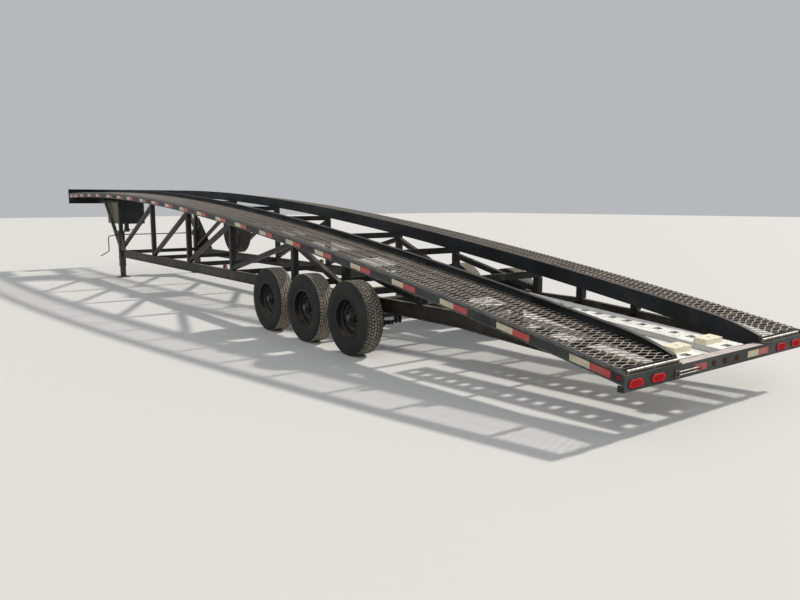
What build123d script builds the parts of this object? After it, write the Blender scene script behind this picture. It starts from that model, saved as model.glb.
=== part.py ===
from build123d import *
import math
import os

os.makedirs("parts", exist_ok=True)

# Car transporter trailer: a three-axle gooseneck wedge trailer with two arched runways on a truss frame.
# Millimetres. While it is built, x is measured forward from the rear face, y is to the left of the
# centre line and z is up from the ground. save() then puts the origin under the middle of the trailer.

LENGTH = 16150
HALF_WIDTH = 1295.5

# Deck arch: one circle in side view, through the top of the tread
ARCH_RADIUS = 82700
CROWN_X = 14975
CROWN_Z = 1871
TREAD_THICKNESS = 8
TREAD_SHEETS = 7
TREAD_GAP = 4
TREAD_MARGIN = 30
TREAD_OPENINGS = (12, 3)
TREAD_BAR = 26
CROSS_ANGLE_START = 560
CROSS_ANGLE_PITCH = 812
CROSS_ANGLE = 45
CROSS_ANGLE_WALL = 6

# Channels: depth, flange width, wall
OUTER_RAIL_FACE = 1294.5
OUTER_RAIL_START = 8
OUTER_RAIL_DEPTH = 100
OUTER_RAIL_FLANGE = 42
INNER_RAIL_Y = 604
INNER_RAIL_DEPTH = 152
INNER_RAIL_FLANGE = 50
INNER_RAIL_LIP = 58
INNER_RAIL_TAPER = 480
INNER_RAIL_END_LIP = 6
CHANNEL_WALL = 8

# Lower frame
TRUSS_Y = 850
LOWER_TOP = 600
LOWER_DEPTH = 152
LOWER_FLANGE = 60
TAIL_BEND_X = 2150
TAIL_TOP = 456
TAIL_BOTTOM = 350
REAR_BEAM_DEPTH = 60
BUMPER_FACE_X = 12
BUMPER_WALL = 8
REAR_BEAM_TOP = 466
REAR_STEP_TOP = 456
BUMPER_END_TOP = 396
REAR_STEP_REACH = 100

# Truss stations: name, x of the post's centre
STATIONS = [
    ("H", 1420),
    ("G", 2105),
    ("F", 2730),
    ("E", 4155),
    ("D", 5400),
    ("C", 7385),
    ("B", 9215),
    ("A", 11130),
    ("jack", 13370),
]
STATION_X = dict(STATIONS)
TAIL_STATIONS = ("H", "G")
JACK_BEAM_SETBACK = 150
POST = 76
BRACE = 62
BRACE_END_OFFSET = 37
TUBE_WALL = 5
CROSS_BEAM_DEPTH = 76
CROSS_BEAM_FLANGE = 38

# Braces in the truss plane: station of the foot, station of the top
BRACES = [
    ("jack", "A"),
    ("A", "B"),
    ("B", "C"),
    ("C", "D"),
    ("E", "D"),
    ("F", "E"),
]

# Braces from the jacks forward to the runways: side, x of the top, z of the foot
FRONT_BRACES = [
    (1, 14540, 640),
    (-1, 14080, 1042),
]

# Parking jacks
JACK_TUBE = 116
JACK_INNER = 96
JACK_PLAY = 1
JACK_CAP = 12
JACK_TUBE_TOP = 1020
JACK_TUBE_BOTTOM = 250
JACK_LEG_TOP = 800
JACK_LEG_WALL = 8
JACK_FOOT = 230
JACK_FOOT_PLATE = 14
JACK_RIB_TOP = 90
JACK_RIB = 10
CRANK_X = 13520
CRANK_Z = 932
CRANK_ROD = 22
CRANK_BEND = 55
CRANK_BOSS_RADIUS = 16
CRANK_BOSS_LENGTH = 30
GEARBOX_Z = (872, 992)
GEARBOX_LENGTH = 110
GEARBOX_HALF_WIDTH = 45
GEARBOX_ROUNDING = 12

# The crank's bends: y and z
CRANK_ROUTE = [
    (910, CRANK_Z),
    (1085, 905),
    (1085, 575),
    (1262, 478),
]

# Plates behind the jacks: side, z of the top, reach to the rear along the chord
GUSSETS = [
    (1, 950, 420),
    (-1, 1290, 810),
]
GUSSET_PLATE = 8
GUSSET_TOP_WIDTH = 50

# Wheels and running gear
AXLE_X = [3485, 4430, 5375]
AXLE_NAMES = ["rear", "middle", "front"]
WHEEL_RADIUS = 403
TYRE_WIDTH = 235
WHEEL_Y = 1172.5
SPRING_HALF_SPAN = 340
SPRING_WIDTH = 44
LEAF = 9
LEAF_HALF_LENGTHS = [340, 294, 232, 165, 98]
SPRING_EYE_Z = 388
SPRING_SAG = 40
EYE_OUTER = 19
EYE_BORE = 9
HANGER_TOP_HALF_WIDTH = 34
HANGER_FOOT_HALF_WIDTH = 22
HANGER_FOOT_DROP = 26
HANGER_CHEEK = 6
HANGER_PLATE = 8
HANGER_PLAY = 2
PIN_PLAY = 0.3
PIN_HEAD = 8
SPRING_SEAT_HALF_LENGTH = 50
SPRING_SEAT_RISE = 12
AXLE_TUBE_RADIUS = 38
SPINDLE_RADIUS = 25
SPINDLE_REACH = 40
BEARING_CLEARANCE = 0.05
DRUM_RADIUS = 158
DRUM_INNER_Y = -107
BACKING_PLATE_RADIUS = 164
BACKING_PLATE = 6
BACKING_PLATE_GAP = 5
LUG_COUNT = 8
HAND_HOLE_RADIUS = 14

# The rocker between two springs, about its pin: x and z
EQUALIZER_OUTLINE = [
    (-148.5, -14),
    (-148.5, 16),
    (0, 46),
    (148.5, 16),
    (148.5, -14),
    (0, -20),
]

# Spare wheel, hung upright between the trusses
SPARE_X = 9620
SPARE_Y = -220
SPARE_Z = 1112
CARRIER_BAR = 50
CARRIER_GAP = 8
CARRIER_DROP = 12
CARRIER_TUBE_RADIUS = 40
CARRIER_DISC_RADIUS = 105
CARRIER_DISC = 10
CARRIER_BOSS_RADIUS = 55
CARRIER_BOSS = 14

# Tool box behind the neck
BOX_X = (13560, 14640)
BOX_Y = (270, 780)
BOX_Z = (1165, 1640)
BOX_WALL = 4
DOOR_THICKNESS = 10
DOOR_HINGE_X = 13551
DOOR_HINGE_Z = 1178
DOOR_PIN_RADIUS = 5
DOOR_KNUCKLE_RADIUS = 9
BOX_RIM = 32
KNUCKLE_INSET = 70
KNUCKLE_LENGTH = 40
KNUCKLE_LUG = 12
DOOR_MARGIN = 6
DOOR_RISE = 16
DOOR_PANEL_INSET = 50
DOOR_PANEL_RIB = 14
DOOR_PANEL_RELIEF = 6
CATCH_INSET = 90
CATCH_WIDTH = 60
CATCH_RELIEF = 12
CATCH_DROP = (12, 44)
HANGER_STRAP = (50, 6)
HANGER_POST = 40

# Neck and coupler
FRONT_BEAM = (16070, LENGTH)
FRONT_BEAM_Z = (1620, 1965)
NECK_X = (14760, 16070)
NECK_BOTTOM = 1620
NECK_RAMP = (200, 40)
NECK_CROSS_X = (14980, 15760)
NECK_CROSS_DEPTH = 100
NECK_CROSS_FLANGE = 44
COUPLER_X = 15960
COUPLER_PLATE = 12
COUPLER_PLATE_REAR = 15804
COUPLER_PLATE_HALF_WIDTH = 160
COUPLER_TUBE_RADIUS = 63.5
COUPLER_TUBE_BOTTOM = 1150
COUPLER_INNER_RADIUS = 54
COUPLER_STEM_TOP = 1540
COUPLER_GUSSET_DROP = 260
COUPLER_GUSSET = 10
SOCKET_RADIUS = 30
SOCKET_DEPTH = 62
SOCKET_BOTTOM = 900
SOCKET_BLOCK_RADIUS = 66
SOCKET_BLOCK_HEIGHT = 92
LATCH_BLOCK_X = (-110, -55)
LATCH_BLOCK_HALF_WIDTH = 30
LATCH_BLOCK_Z = (20, 70)
LATCH_HANDLE_X = -95
LATCH_HANDLE_Z = (45, 60)
LATCH_HANDLE_REACH = 150
LATCH_HANDLE_RADIUS = 9

# Marker lamps: a red pair at the rear and an amber pair in the middle, on the outer rails
SIDE_MARKER_X = [52, 7710]
SIDE_MARKER_RADIUS = 22
SIDE_MARKER_DROP = 62
SIDE_LENS_THICKNESS = 0.9
CHORD_MARKER_X = 7640
CHORD_LAMP_HALF = 42
CHORD_LAMP_HEIGHT = 61
CHORD_BRACKET_HALF = 50
CHORD_BRACKET = 5

# Rear lamps, bars and stowed ramps
RAMP_BAR_X = 34
RAMP_BAR_Z = 487
RAMP_BAR_RADIUS = 11
RAMP_BAR_INSETS = (12, 60)
RAMP_BAR_LUG = (20, 14)
LATCH_Z = 392
LATCH_PLATE_Y = (640, 689)
LATCH_PLATE_HALF_HEIGHT = 32
LATCH_ROD_END_Y = 371
LATCH_ROD_RADIUS = 5
LATCH_ROD_OFFSET = 12
HASP_INSET = 16
HASP_HALF_HEIGHT = 15
LATCH_FOOT_Y = (356, 374)
LATCH_FOOT_HALF_HEIGHT = 20
TAIL_LAMP_Y = [1160, 897]
TAIL_LAMP_SIZE = (162, 64)
TAIL_LAMP_X = (2, 44)
ID_LAMP_X = (4, 40)
GROMMET = 4
GROMMET_LIP = 7
LAMP_PLAY = 2
ID_LAMP_Y = [163, 0, -178]
ID_LAMP_RADIUS = 21
LAMP_Z = 402
RAMP_REAR_X = 104
RAMP_LENGTH = 2390
RAMP_WIDTH = 360
RAMP_DEPTH = 50
RAMP_SHEET = 6
RAMP_CUTOUTS = 15
RAMP_CUTOUT_START = 16
RAMP_CUTOUT_PITCH = 160
RAMP_CUTOUT = (62, 104)
RAMP_TOP = (104, 461)
RAMP_RISE = 0.08

# Stowed ramps: y of the ramp's centre, y and x of its hook block
RAMPS = [
    (330, (166, 400), (206, 322)),
    (-272, (-340, -100), (232, 348)),
]
HOOK_HEIGHT = 44
HOOK_HOLE_RADIUS = 16
HOOK_HOLE_DEPTH = 30


# Helpers


def arch_z(x, drop=0.0):
    """Height of the deck arch at x, on the concentric circle drop below the tread."""
    radius = ARCH_RADIUS - drop
    return CROWN_Z - ARCH_RADIUS + math.sqrt(radius**2 - (x - CROWN_X) ** 2)


def box(x, y, z):
    """A block from its limits along each axis."""
    size = (x[1] - x[0], y[1] - y[0], z[1] - z[0])
    middle = ((x[0] + x[1]) / 2, (y[0] + y[1]) / 2, (z[0] + z[1]) / 2)
    return Pos(*middle) * Box(*size)


def side_prism(points, y):
    """A prism across y from its outline in side view, as (x, z) points."""
    outline = Wire.make_polygon([(px, y[0], pz) for px, pz in points], close=True)
    return extrude(Face(outline), amount=y[1] - y[0], dir=(0, 1, 0))


def arch_strip(x, drop, y):
    """A strip of the arch between two depths below the tread."""
    middle = (x[0] + x[1]) / 2

    def arc(at, first, last):
        stations = (first, middle, last)
        return ThreePointArc(*[(s, y[0], arch_z(s, at)) for s in stations])

    def line(at):
        return Line((at, y[0], arch_z(at, drop[0])), (at, y[0], arch_z(at, drop[1])))

    edges = [arc(drop[0], *x), line(x[1]), arc(drop[1], x[1], x[0]), line(x[0])]
    outline = Wire([edge.edge() for edge in edges])
    return extrude(Face(outline), amount=y[1] - y[0], dir=(0, 1, 0))


def arch_channel(x, drop, web_y, flange_y):
    """A channel bent to the arch: a web between web_y, and flanges between flange_y."""
    web = arch_strip(x, drop, web_y)
    top = arch_strip(x, (drop[0], drop[0] + CHANNEL_WALL), flange_y)
    bottom = arch_strip(x, (drop[1] - CHANNEL_WALL, drop[1]), flange_y)
    return web + top + bottom


def cross_channel(x, y, top, depth=CROSS_BEAM_DEPTH, flange=CROSS_BEAM_FLANGE, wall=6):
    """A channel across the trailer, its web to the rear at x and its flanges forward."""
    outline = [
        (x, top),
        (x + flange, top),
        (x + flange, top - wall),
        (x + wall, top - wall),
        (x + wall, top - depth + wall),
        (x + flange, top - depth + wall),
        (x + flange, top - depth),
        (x, top - depth),
    ]
    return side_prism(outline, y)


def square_tube(x, y, z, wall=TUBE_WALL):
    """An upright square tube from its limits."""
    inner_x = (x[0] + wall, x[1] - wall)
    inner_y = (y[0] + wall, y[1] - wall)
    return box(x, y, z) - box(inner_x, inner_y, z)


def brace_tube(foot, top, y, size, bay):
    """A sloping square tube in the truss plane, cut back to the bay it stands in."""
    dx = top[0] - foot[0]
    dz = top[1] - foot[1]
    span = math.hypot(dx, dz)
    along = (dx / span, dz / span)
    across = (-along[1], along[0])

    def outline(half):
        corners = [(-400, -half), (span + 400, -half), (span + 400, half), (-400, half)]
        points = []
        for a, b in corners:
            px = foot[0] + a * along[0] + b * across[0]
            pz = foot[1] + a * along[1] + b * across[1]
            points.append((px, pz))
        return points

    half_y = size / 2
    outer = side_prism(outline(size / 2), (y - half_y, y + half_y))
    inner = side_prism(
        outline(size / 2 - TUBE_WALL), (y - half_y + TUBE_WALL, y + half_y - TUBE_WALL)
    )
    return (outer - inner) & bay


def rod(start, end, radius):
    """A round rod between two points."""
    start, end = Vector(*start), Vector(*end)
    axis = end - start
    return Solid.make_cylinder(radius, axis.length, Plane(start, z_dir=axis))


def across_cylinder(x, z, radius, y):
    """A cylinder along y."""
    return rod((x, y[0], z), (x, y[1], z), radius)


def lathe(points):
    """A solid of revolution about y from its outline, as (radius, y) points."""
    outline = Wire.make_polygon([(r, py, 0) for r, py in points], close=True)
    return revolve(Face(outline), axis=Axis.Y, revolution_arc=360)


def mirrored(solids):
    """The solids and their mirror images on the other side of the centre line."""
    return solids + [mirror(s, about=Plane.XZ) for s in solids]


def save(name, solids):
    """Moves the origin under the middle of the trailer and writes one node."""
    placed = []
    for shape in solids:
        placed.extend((Pos(-LENGTH / 2, 0, 0) * shape).solids())
    node = placed[0] if len(placed) == 1 else Compound(children=placed)
    node.label = name
    export_step(node, f"parts/{name}.step")


# Runways


def outer_rails():
    y = (OUTER_RAIL_FACE - CHANNEL_WALL, OUTER_RAIL_FACE)
    flange = (OUTER_RAIL_FACE - OUTER_RAIL_FLANGE, OUTER_RAIL_FACE)
    drop = (TREAD_THICKNESS, TREAD_THICKNESS + OUTER_RAIL_DEPTH)
    rail = arch_channel((REAR_BEAM_DEPTH, FRONT_BEAM[0]), drop, y, flange)
    rail += arch_strip((OUTER_RAIL_START, REAR_BEAM_DEPTH), drop, y)
    save("outer_rails", mirrored([rail]))


def inner_rails():
    web = (INNER_RAIL_Y, INNER_RAIL_Y + CHANNEL_WALL)
    flange = (INNER_RAIL_Y, INNER_RAIL_Y + INNER_RAIL_FLANGE)
    drop = (-INNER_RAIL_LIP, INNER_RAIL_DEPTH - INNER_RAIL_LIP)
    start = REAR_BEAM_DEPTH
    end = start + INNER_RAIL_TAPER
    rail = arch_channel((end, FRONT_BEAM[0]), drop, web, flange)
    rail += rail_taper((start, end), 0, drop[1], web)
    rail += rail_taper((start, end), 0, None, flange)
    rail += arch_strip((start, end), (drop[1] - CHANNEL_WALL, drop[1]), flange)
    rail += box((start, start + CHANNEL_WALL), flange, (arch_z(start, drop[1]), arch_z(start)))
    save("inner_rails", mirrored([rail]))


def rail_taper(x, top_offset, bottom_drop, y):
    """The inner rail's rear end, where its top edge bends down to the bumper.

    bottom_drop is the depth of the lower edge, or None for a flange along the top edge.
    """
    middle = x[0] + (x[1] - x[0]) * 0.5

    def edge(offset, reverse=False):
        points = [
            (x[0], y[0], arch_z(x[0], -INNER_RAIL_END_LIP) - offset),
            (middle, y[0], arch_z(middle, -INNER_RAIL_LIP * 0.80) - offset),
            (x[1], y[0], arch_z(x[1], -INNER_RAIL_LIP) - offset),
        ]
        return ThreePointArc(*(reversed(points) if reverse else points)).edge()

    top = edge(top_offset)
    if bottom_drop is None:
        low = edge(top_offset + CHANNEL_WALL, reverse=True)
    else:
        stations = (x[1], middle, x[0])
        low = ThreePointArc(*[(s, y[0], arch_z(s, bottom_drop)) for s in stations]).edge()
    sides = [Line(top @ 1, low @ 0).edge(), Line(low @ 1, top @ 0).edge()]
    outline = Wire([top, sides[0], low, sides[1]])
    return extrude(Face(outline), amount=y[1] - y[0], dir=(0, 1, 0))


def tread_openings(x, y):
    """A grid of openings for one tread sheet, between a margin on every side."""
    along, across = TREAD_OPENINGS
    pitch_x = (x[1] - x[0] - 2 * TREAD_MARGIN + TREAD_BAR) / along
    pitch_y = (y[1] - y[0] - 2 * TREAD_MARGIN + TREAD_BAR) / across
    z = (min(arch_z(x[0], TREAD_THICKNESS), arch_z(x[1], TREAD_THICKNESS)) - 1, CROWN_Z + 1)
    openings = []
    for i in range(along):
        start_x = x[0] + TREAD_MARGIN + i * pitch_x
        for j in range(across):
            start_y = y[0] + TREAD_MARGIN + j * pitch_y
            hole_y = (start_y, start_y + pitch_y - TREAD_BAR)
            openings.append(box((start_x, start_x + pitch_x - TREAD_BAR), hole_y, z))
    return openings


def runway_tread():
    """The tread sheets, laid end to end with a small gap, each a plain grid of openings."""
    start = REAR_BEAM_DEPTH
    pitch = (FRONT_BEAM[0] - start) / TREAD_SHEETS
    y = (INNER_RAIL_Y + INNER_RAIL_FLANGE + 1, OUTER_RAIL_FACE - 2)
    panels = []
    for i in range(TREAD_SHEETS):
        x = (start + i * pitch + TREAD_GAP / 2, start + (i + 1) * pitch - TREAD_GAP / 2)
        panels.append(arch_strip(x, (0, TREAD_THICKNESS), y) - tread_openings(x, y))
    save("runway_tread", mirrored(panels))


def runway_angles():
    """Angles across each runway under the tread, between the two rails."""
    y = (INNER_RAIL_Y + CHANNEL_WALL, OUTER_RAIL_FACE - OUTER_RAIL_FLANGE)
    angles = []
    count = int((FRONT_BEAM[0] - CROSS_ANGLE_START) / CROSS_ANGLE_PITCH)
    wall = CROSS_ANGLE_WALL
    for i in range(count + 1):
        x = CROSS_ANGLE_START + i * CROSS_ANGLE_PITCH
        for name in TAIL_STATIONS:
            post = STATION_X[name]
            if post - POST / 2 - CROSS_ANGLE < x < post + POST / 2:
                x = post + POST / 2 + 10
        top = arch_z(x, TREAD_THICKNESS) - 6
        outline = [
            (x, top),
            (x + CROSS_ANGLE, top),
            (x + CROSS_ANGLE, top - wall),
            (x + wall, top - wall),
            (x + wall, top - CROSS_ANGLE),
            (x, top - CROSS_ANGLE),
        ]
        angles.append(side_prism(outline, y))
    save("runway_angles", mirrored(angles))


# Truss frame


def lower_rails():
    """The lower chords, level from the jacks to the tail, then sloping to the rear beam."""
    front = STATION_X["jack"] - JACK_TUBE / 2
    bottom = LOWER_TOP - LOWER_DEPTH
    top_line = [(REAR_BEAM_DEPTH, TAIL_TOP), (TAIL_BEND_X, LOWER_TOP), (front, LOWER_TOP)]
    low_line = [(front, bottom), (TAIL_BEND_X, bottom), (REAR_BEAM_DEPTH, TAIL_BOTTOM)]
    y_in = TRUSS_Y - LOWER_FLANGE / 2
    y_out = TRUSS_Y + LOWER_FLANGE / 2
    middle = (TRUSS_Y - CHANNEL_WALL / 2, TRUSS_Y + CHANNEL_WALL / 2)
    web = side_prism(top_line + low_line, middle)
    top_flange = [(x, z - CHANNEL_WALL) for x, z in reversed(top_line)]
    low_flange = [(x, z + CHANNEL_WALL) for x, z in reversed(low_line)]
    rail = web + side_prism(top_line + top_flange, (y_in, y_out))
    rail += side_prism(low_line + low_flange, (y_in, y_out))
    save("lower_rails", mirrored([rail]))


def beam_top(x):
    """Underside of the rails, where the upper cross beams and posts end."""
    return arch_z(x, TREAD_THICKNESS + OUTER_RAIL_DEPTH)


def truss_posts():
    posts = []
    y = (TRUSS_Y - POST / 2, TRUSS_Y + POST / 2)
    for name, x in STATIONS:
        span = (x - POST / 2, x + POST / 2)
        foot = JACK_TUBE_TOP if name == "jack" else LOWER_TOP
        if name == "H":
            tail = TAIL_TOP + (LOWER_TOP - TAIL_TOP) * x / TAIL_BEND_X
            foot = tail + 6
        if name in TAIL_STATIONS:
            top = arch_z(span[0], TREAD_THICKNESS + 2)
        else:
            top = beam_top(span[0]) - CROSS_BEAM_DEPTH
        posts.append(square_tube(span, y, (foot, top)))
    save("truss_posts", mirrored(posts))


def truss_braces():
    braces = []
    for foot_name, top_name in BRACES:
        foot_x = STATION_X[foot_name]
        top_x = STATION_X[top_name]
        ahead = 1 if top_x > foot_x else -1
        foot_half = (JACK_TUBE if foot_name == "jack" else POST) / 2
        low = foot_x + ahead * foot_half
        high = top_x - ahead * POST / 2
        top_z = beam_top(high) - CROSS_BEAM_DEPTH - BRACE_END_OFFSET
        bay_x = (min(low, high), max(low, high))
        bay = box(bay_x, (TRUSS_Y - BRACE, TRUSS_Y + BRACE), (LOWER_TOP, CROWN_Z))
        foot = (low, LOWER_TOP + BRACE_END_OFFSET)
        braces.append(brace_tube(foot, (high, top_z), TRUSS_Y, BRACE, bay))
    braces = mirrored(braces)
    front_low = STATION_X["jack"] + JACK_TUBE / 2
    for side, top_x, foot_z in FRONT_BRACES:
        front_top = beam_top(top_x - CROSS_BEAM_FLANGE / 2) - CROSS_BEAM_DEPTH
        bay = box((front_low, LENGTH), (-TRUSS_Y - BRACE, TRUSS_Y + BRACE), (0, front_top))
        braces.append(brace_tube((front_low, foot_z), (top_x, front_top), side * TRUSS_Y, BRACE, bay))
    save("truss_braces", braces)


def upper_cross_beams():
    """Channels between the trusses, under the runways, one on each pair of posts."""
    beams = []
    reach = TRUSS_Y + POST / 2 + 10
    for name, x in STATIONS:
        if name in TAIL_STATIONS:
            continue
        start = x - CROSS_BEAM_FLANGE / 2
        beams.append(cross_channel(start, (-reach, reach), beam_top(start)))
    for side, top_x, _ in FRONT_BRACES:
        front = top_x - CROSS_BEAM_FLANGE / 2
        beams.append(cross_channel(front, span_on_side(side, reach), beam_top(front)))
    save("upper_cross_beams", beams)


def span_on_side(side, reach):
    """Where a beam runs under one runway only."""
    inner = INNER_RAIL_Y
    return (inner, reach) if side > 0 else (-reach, -inner)


def lower_cross_beams():
    """Channels between the lower chords; the two at the tail carry the ramps and end at the webs."""
    beams = []
    for name, x in STATIONS:
        reach = TRUSS_Y - LOWER_FLANGE / 2
        top = LOWER_TOP
        if name == "jack":
            x -= JACK_BEAM_SETBACK
        if name in TAIL_STATIONS:
            reach = TRUSS_Y - CHANNEL_WALL / 2
            top = ramp_height(x) - RAMP_DEPTH / math.cos(math.atan(RAMP_RISE))
        beams.append(cross_channel(x, (-reach, reach), top))
    save("lower_cross_beams", beams)


def ramp_height(x):
    """Height of the stowed ramps' top face at x."""
    return RAMP_TOP[1] + RAMP_RISE * (x - RAMP_TOP[0])


# Parking jacks


def jacks():
    x = STATION_X["jack"]
    half = JACK_TUBE / 2
    y = (TRUSS_Y - half, TRUSS_Y + half)
    tube = box((x - half, x + half), y, (JACK_TUBE_BOTTOM, JACK_TUBE_TOP))
    bore = JACK_INNER / 2 + JACK_PLAY
    well = (JACK_TUBE_BOTTOM, JACK_TUBE_TOP - JACK_CAP)
    tube -= box((x - bore, x + bore), (TRUSS_Y - bore, TRUSS_Y + bore), well)
    save("jack_tubes", mirrored([tube]))

    inner = JACK_INNER / 2
    leg_y = (TRUSS_Y - inner, TRUSS_Y + inner)
    base = JACK_FOOT_PLATE
    leg = square_tube((x - inner, x + inner), leg_y, (base, JACK_LEG_TOP), wall=JACK_LEG_WALL)
    pad = JACK_FOOT / 2
    foot = box((x - pad, x + pad), (TRUSS_Y - pad, TRUSS_Y + pad), (0, base))
    rib_y = (TRUSS_Y - JACK_RIB / 2, TRUSS_Y + JACK_RIB / 2)
    foot += side_prism([(x - pad, base), (x - inner, base), (x - inner, JACK_RIB_TOP)], rib_y)
    foot += side_prism([(x + inner, base), (x + pad, base), (x + inner, JACK_RIB_TOP)], rib_y)
    save("jack_legs", mirrored([leg + foot]))

    rear = x - half
    gussets = []
    for side, top, reach in GUSSETS:
        upper = [(rear, top), (rear - GUSSET_TOP_WIDTH, top)]
        plate = [(rear - reach, LOWER_TOP), (rear, LOWER_TOP)] + upper
        face = side * (TRUSS_Y + BRACE / 2 + 1)
        gussets.append(side_prism(plate, sorted((face, face + side * GUSSET_PLATE))))
    save("jack_gussets", gussets)

    gear_x = (x + half, x + half + GEARBOX_LENGTH)
    inner_face = TRUSS_Y - GEARBOX_HALF_WIDTH
    gearbox = box(gear_x, (inner_face, TRUSS_Y + GEARBOX_HALF_WIDTH), GEARBOX_Z)
    gearbox = fillet(gearbox.edges().filter_by(Axis.X), GEARBOX_ROUNDING)
    save("jack_gearboxes", mirrored([gearbox]))

    shaft = across_cylinder(CRANK_X, CRANK_Z, CRANK_ROD / 2, (-inner_face, inner_face))
    save("jack_cross_shaft", [shaft])
    crank_handle()


def crank_handle():
    """The hand crank on the left jack: out, down and out again, with round bends."""
    route = [(CRANK_X, y, z) for y, z in CRANK_ROUTE]
    path = FilletPolyline(*route, radius=CRANK_BEND)
    start = Plane(path @ 0, z_dir=path % 0)
    handle = sweep(start * Circle(CRANK_ROD / 2 - 1), path=path)
    outer_face = TRUSS_Y + GEARBOX_HALF_WIDTH
    boss_y = (outer_face, outer_face + CRANK_BOSS_LENGTH)
    handle += across_cylinder(CRANK_X, CRANK_Z, CRANK_BOSS_RADIUS, boss_y)
    save("crank_handle", [handle])


# Running gear


def axles():
    face = WHEEL_Y + DRUM_INNER_Y - BACKING_PLATE_GAP
    beams = []
    for x in AXLE_X:
        axle = across_cylinder(x, WHEEL_RADIUS, AXLE_TUBE_RADIUS, (-face, face))
        for side in (-1, 1):
            plate_y = sorted((side * (face - BACKING_PLATE), side * face))
            axle += across_cylinder(x, WHEEL_RADIUS, BACKING_PLATE_RADIUS, plate_y)
            spindle_y = sorted((side * face, side * (WHEEL_Y + SPINDLE_REACH)))
            axle += across_cylinder(x, WHEEL_RADIUS, SPINDLE_RADIUS, spindle_y)
        beams.append(axle)
    save("axles", beams)


def leaf(x, index, half_length, y):
    """One leaf: a strip between two circles about a centre above the axle."""
    radius = (SPRING_HALF_SPAN**2 + SPRING_SAG**2) / (2 * SPRING_SAG)
    centre_z = SPRING_EYE_Z - SPRING_SAG + radius
    inner = radius - LEAF / 2 + index * LEAF
    outer = inner + LEAF

    def point(r, offset):
        return (x + offset, y[0], centre_z - math.sqrt(r**2 - offset**2))

    upper = ThreePointArc(*[point(inner, o) for o in (-half_length, 0, half_length)])
    lower = ThreePointArc(*[point(outer, o) for o in (half_length, 0, -half_length)])
    ends = [
        Line(point(inner, half_length), point(outer, half_length)),
        Line(point(outer, -half_length), point(inner, -half_length)),
    ]
    outline = Wire([edge.edge() for edge in (upper, ends[0], lower, ends[1])])
    return extrude(Face(outline), amount=y[1] - y[0], dir=(0, 1, 0))


def leaf_springs():
    """Each spring is a pack of leaves, shorter towards the bottom, with an eye at each end."""
    y = (TRUSS_Y - SPRING_WIDTH / 2, TRUSS_Y + SPRING_WIDTH / 2)
    springs = []
    for x in AXLE_X:
        pack = leaf(x, 0, LEAF_HALF_LENGTHS[0], y)
        for index in range(1, len(LEAF_HALF_LENGTHS)):
            pack += leaf(x, index, LEAF_HALF_LENGTHS[index], y)
        for side in (-1, 1):
            eye_x = x + side * SPRING_HALF_SPAN
            pack += across_cylinder(eye_x, SPRING_EYE_Z, EYE_OUTER, y)
            pack -= across_cylinder(eye_x, SPRING_EYE_Z, EYE_BORE, y)
        springs.append(pack)
    save("leaf_springs", mirrored(springs))

    seats = []
    for x in AXLE_X:
        seat_top = WHEEL_RADIUS - AXLE_TUBE_RADIUS + SPRING_SEAT_RISE
        seat_x = (x - SPRING_SEAT_HALF_LENGTH, x + SPRING_SEAT_HALF_LENGTH)
        seat = box(seat_x, y, (SPRING_EYE_Z - SPRING_SAG, seat_top))
        seat -= across_cylinder(x, WHEEL_RADIUS, AXLE_TUBE_RADIUS, y)
        seats.append(seat - leaf(x, 0, LEAF_HALF_LENGTHS[0], y))
    save("spring_seats", mirrored(seats))


def spring_hangers():
    """Hangers under the lower chord: one at each end and one between each pair of springs."""
    bottom = LOWER_TOP - LOWER_DEPTH
    gap = SPRING_WIDTH / 2 + HANGER_PLAY
    side = gap + HANGER_CHEEK
    low = SPRING_EYE_Z - HANGER_FOOT_DROP
    end_x = [AXLE_X[0] - SPRING_HALF_SPAN, AXLE_X[-1] + SPRING_HALF_SPAN]
    middle_x = [(AXLE_X[i] + AXLE_X[i + 1]) / 2 for i in (0, 1)]
    hangers = []
    for x in end_x + middle_x:
        width = HANGER_TOP_HALF_WIDTH
        foot = HANGER_FOOT_HALF_WIDTH
        outline = [(x - width, bottom), (x + width, bottom), (x + foot, low), (x - foot, low)]
        hanger = side_prism(outline, (TRUSS_Y - side, TRUSS_Y - gap))
        hanger += side_prism(outline, (TRUSS_Y + gap, TRUSS_Y + side))
        pin_y = (TRUSS_Y - side - PIN_HEAD, TRUSS_Y + side + PIN_HEAD)
        hanger += across_cylinder(x, SPRING_EYE_Z, EYE_BORE - PIN_PLAY, pin_y)
        plate_y = (TRUSS_Y - side, TRUSS_Y + side)
        hanger += box((x - width, x + width), plate_y, (bottom - HANGER_PLATE, bottom))
        hangers.append(hanger)
    save("spring_hangers", mirrored(hangers))

    reach = (AXLE_X[1] - AXLE_X[0]) / 2 - SPRING_HALF_SPAN
    rockers = []
    for x in middle_x:
        outline = [(x + along, SPRING_EYE_Z + up) for along, up in EQUALIZER_OUTLINE]
        half = SPRING_WIDTH / 2
        rocker = side_prism(outline, (TRUSS_Y - half, TRUSS_Y + half))
        cut_y = (TRUSS_Y - half - 1, TRUSS_Y + half + 1)
        rocker -= across_cylinder(x, SPRING_EYE_Z, EYE_BORE, cut_y)
        for way in (-1, 1):
            near = x + way * (reach - EYE_OUTER - HANGER_PLAY)
            far = x + way * (reach + LOWER_FLANGE)
            rocker -= box(sorted((near, far)), cut_y, (0, SPRING_EYE_Z + EYE_OUTER + 3))
        rockers.append(rocker)
    save("spring_equalizers", mirrored(rockers))


# Wheels, about their own centre with the outer side at +y


def tyre():
    half = TYRE_WIDTH / 2
    crown = WHEEL_RADIUS
    shoulder = WHEEL_RADIUS - 22
    outline = [
        (207, -93),
        (228, -101),
        (305, -half),
        (shoulder, -109),
        (crown, -86),
        (crown, 86),
        (shoulder, 109),
        (305, half),
        (228, 101),
        (207, 93),
    ]
    return lathe(outline)


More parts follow.
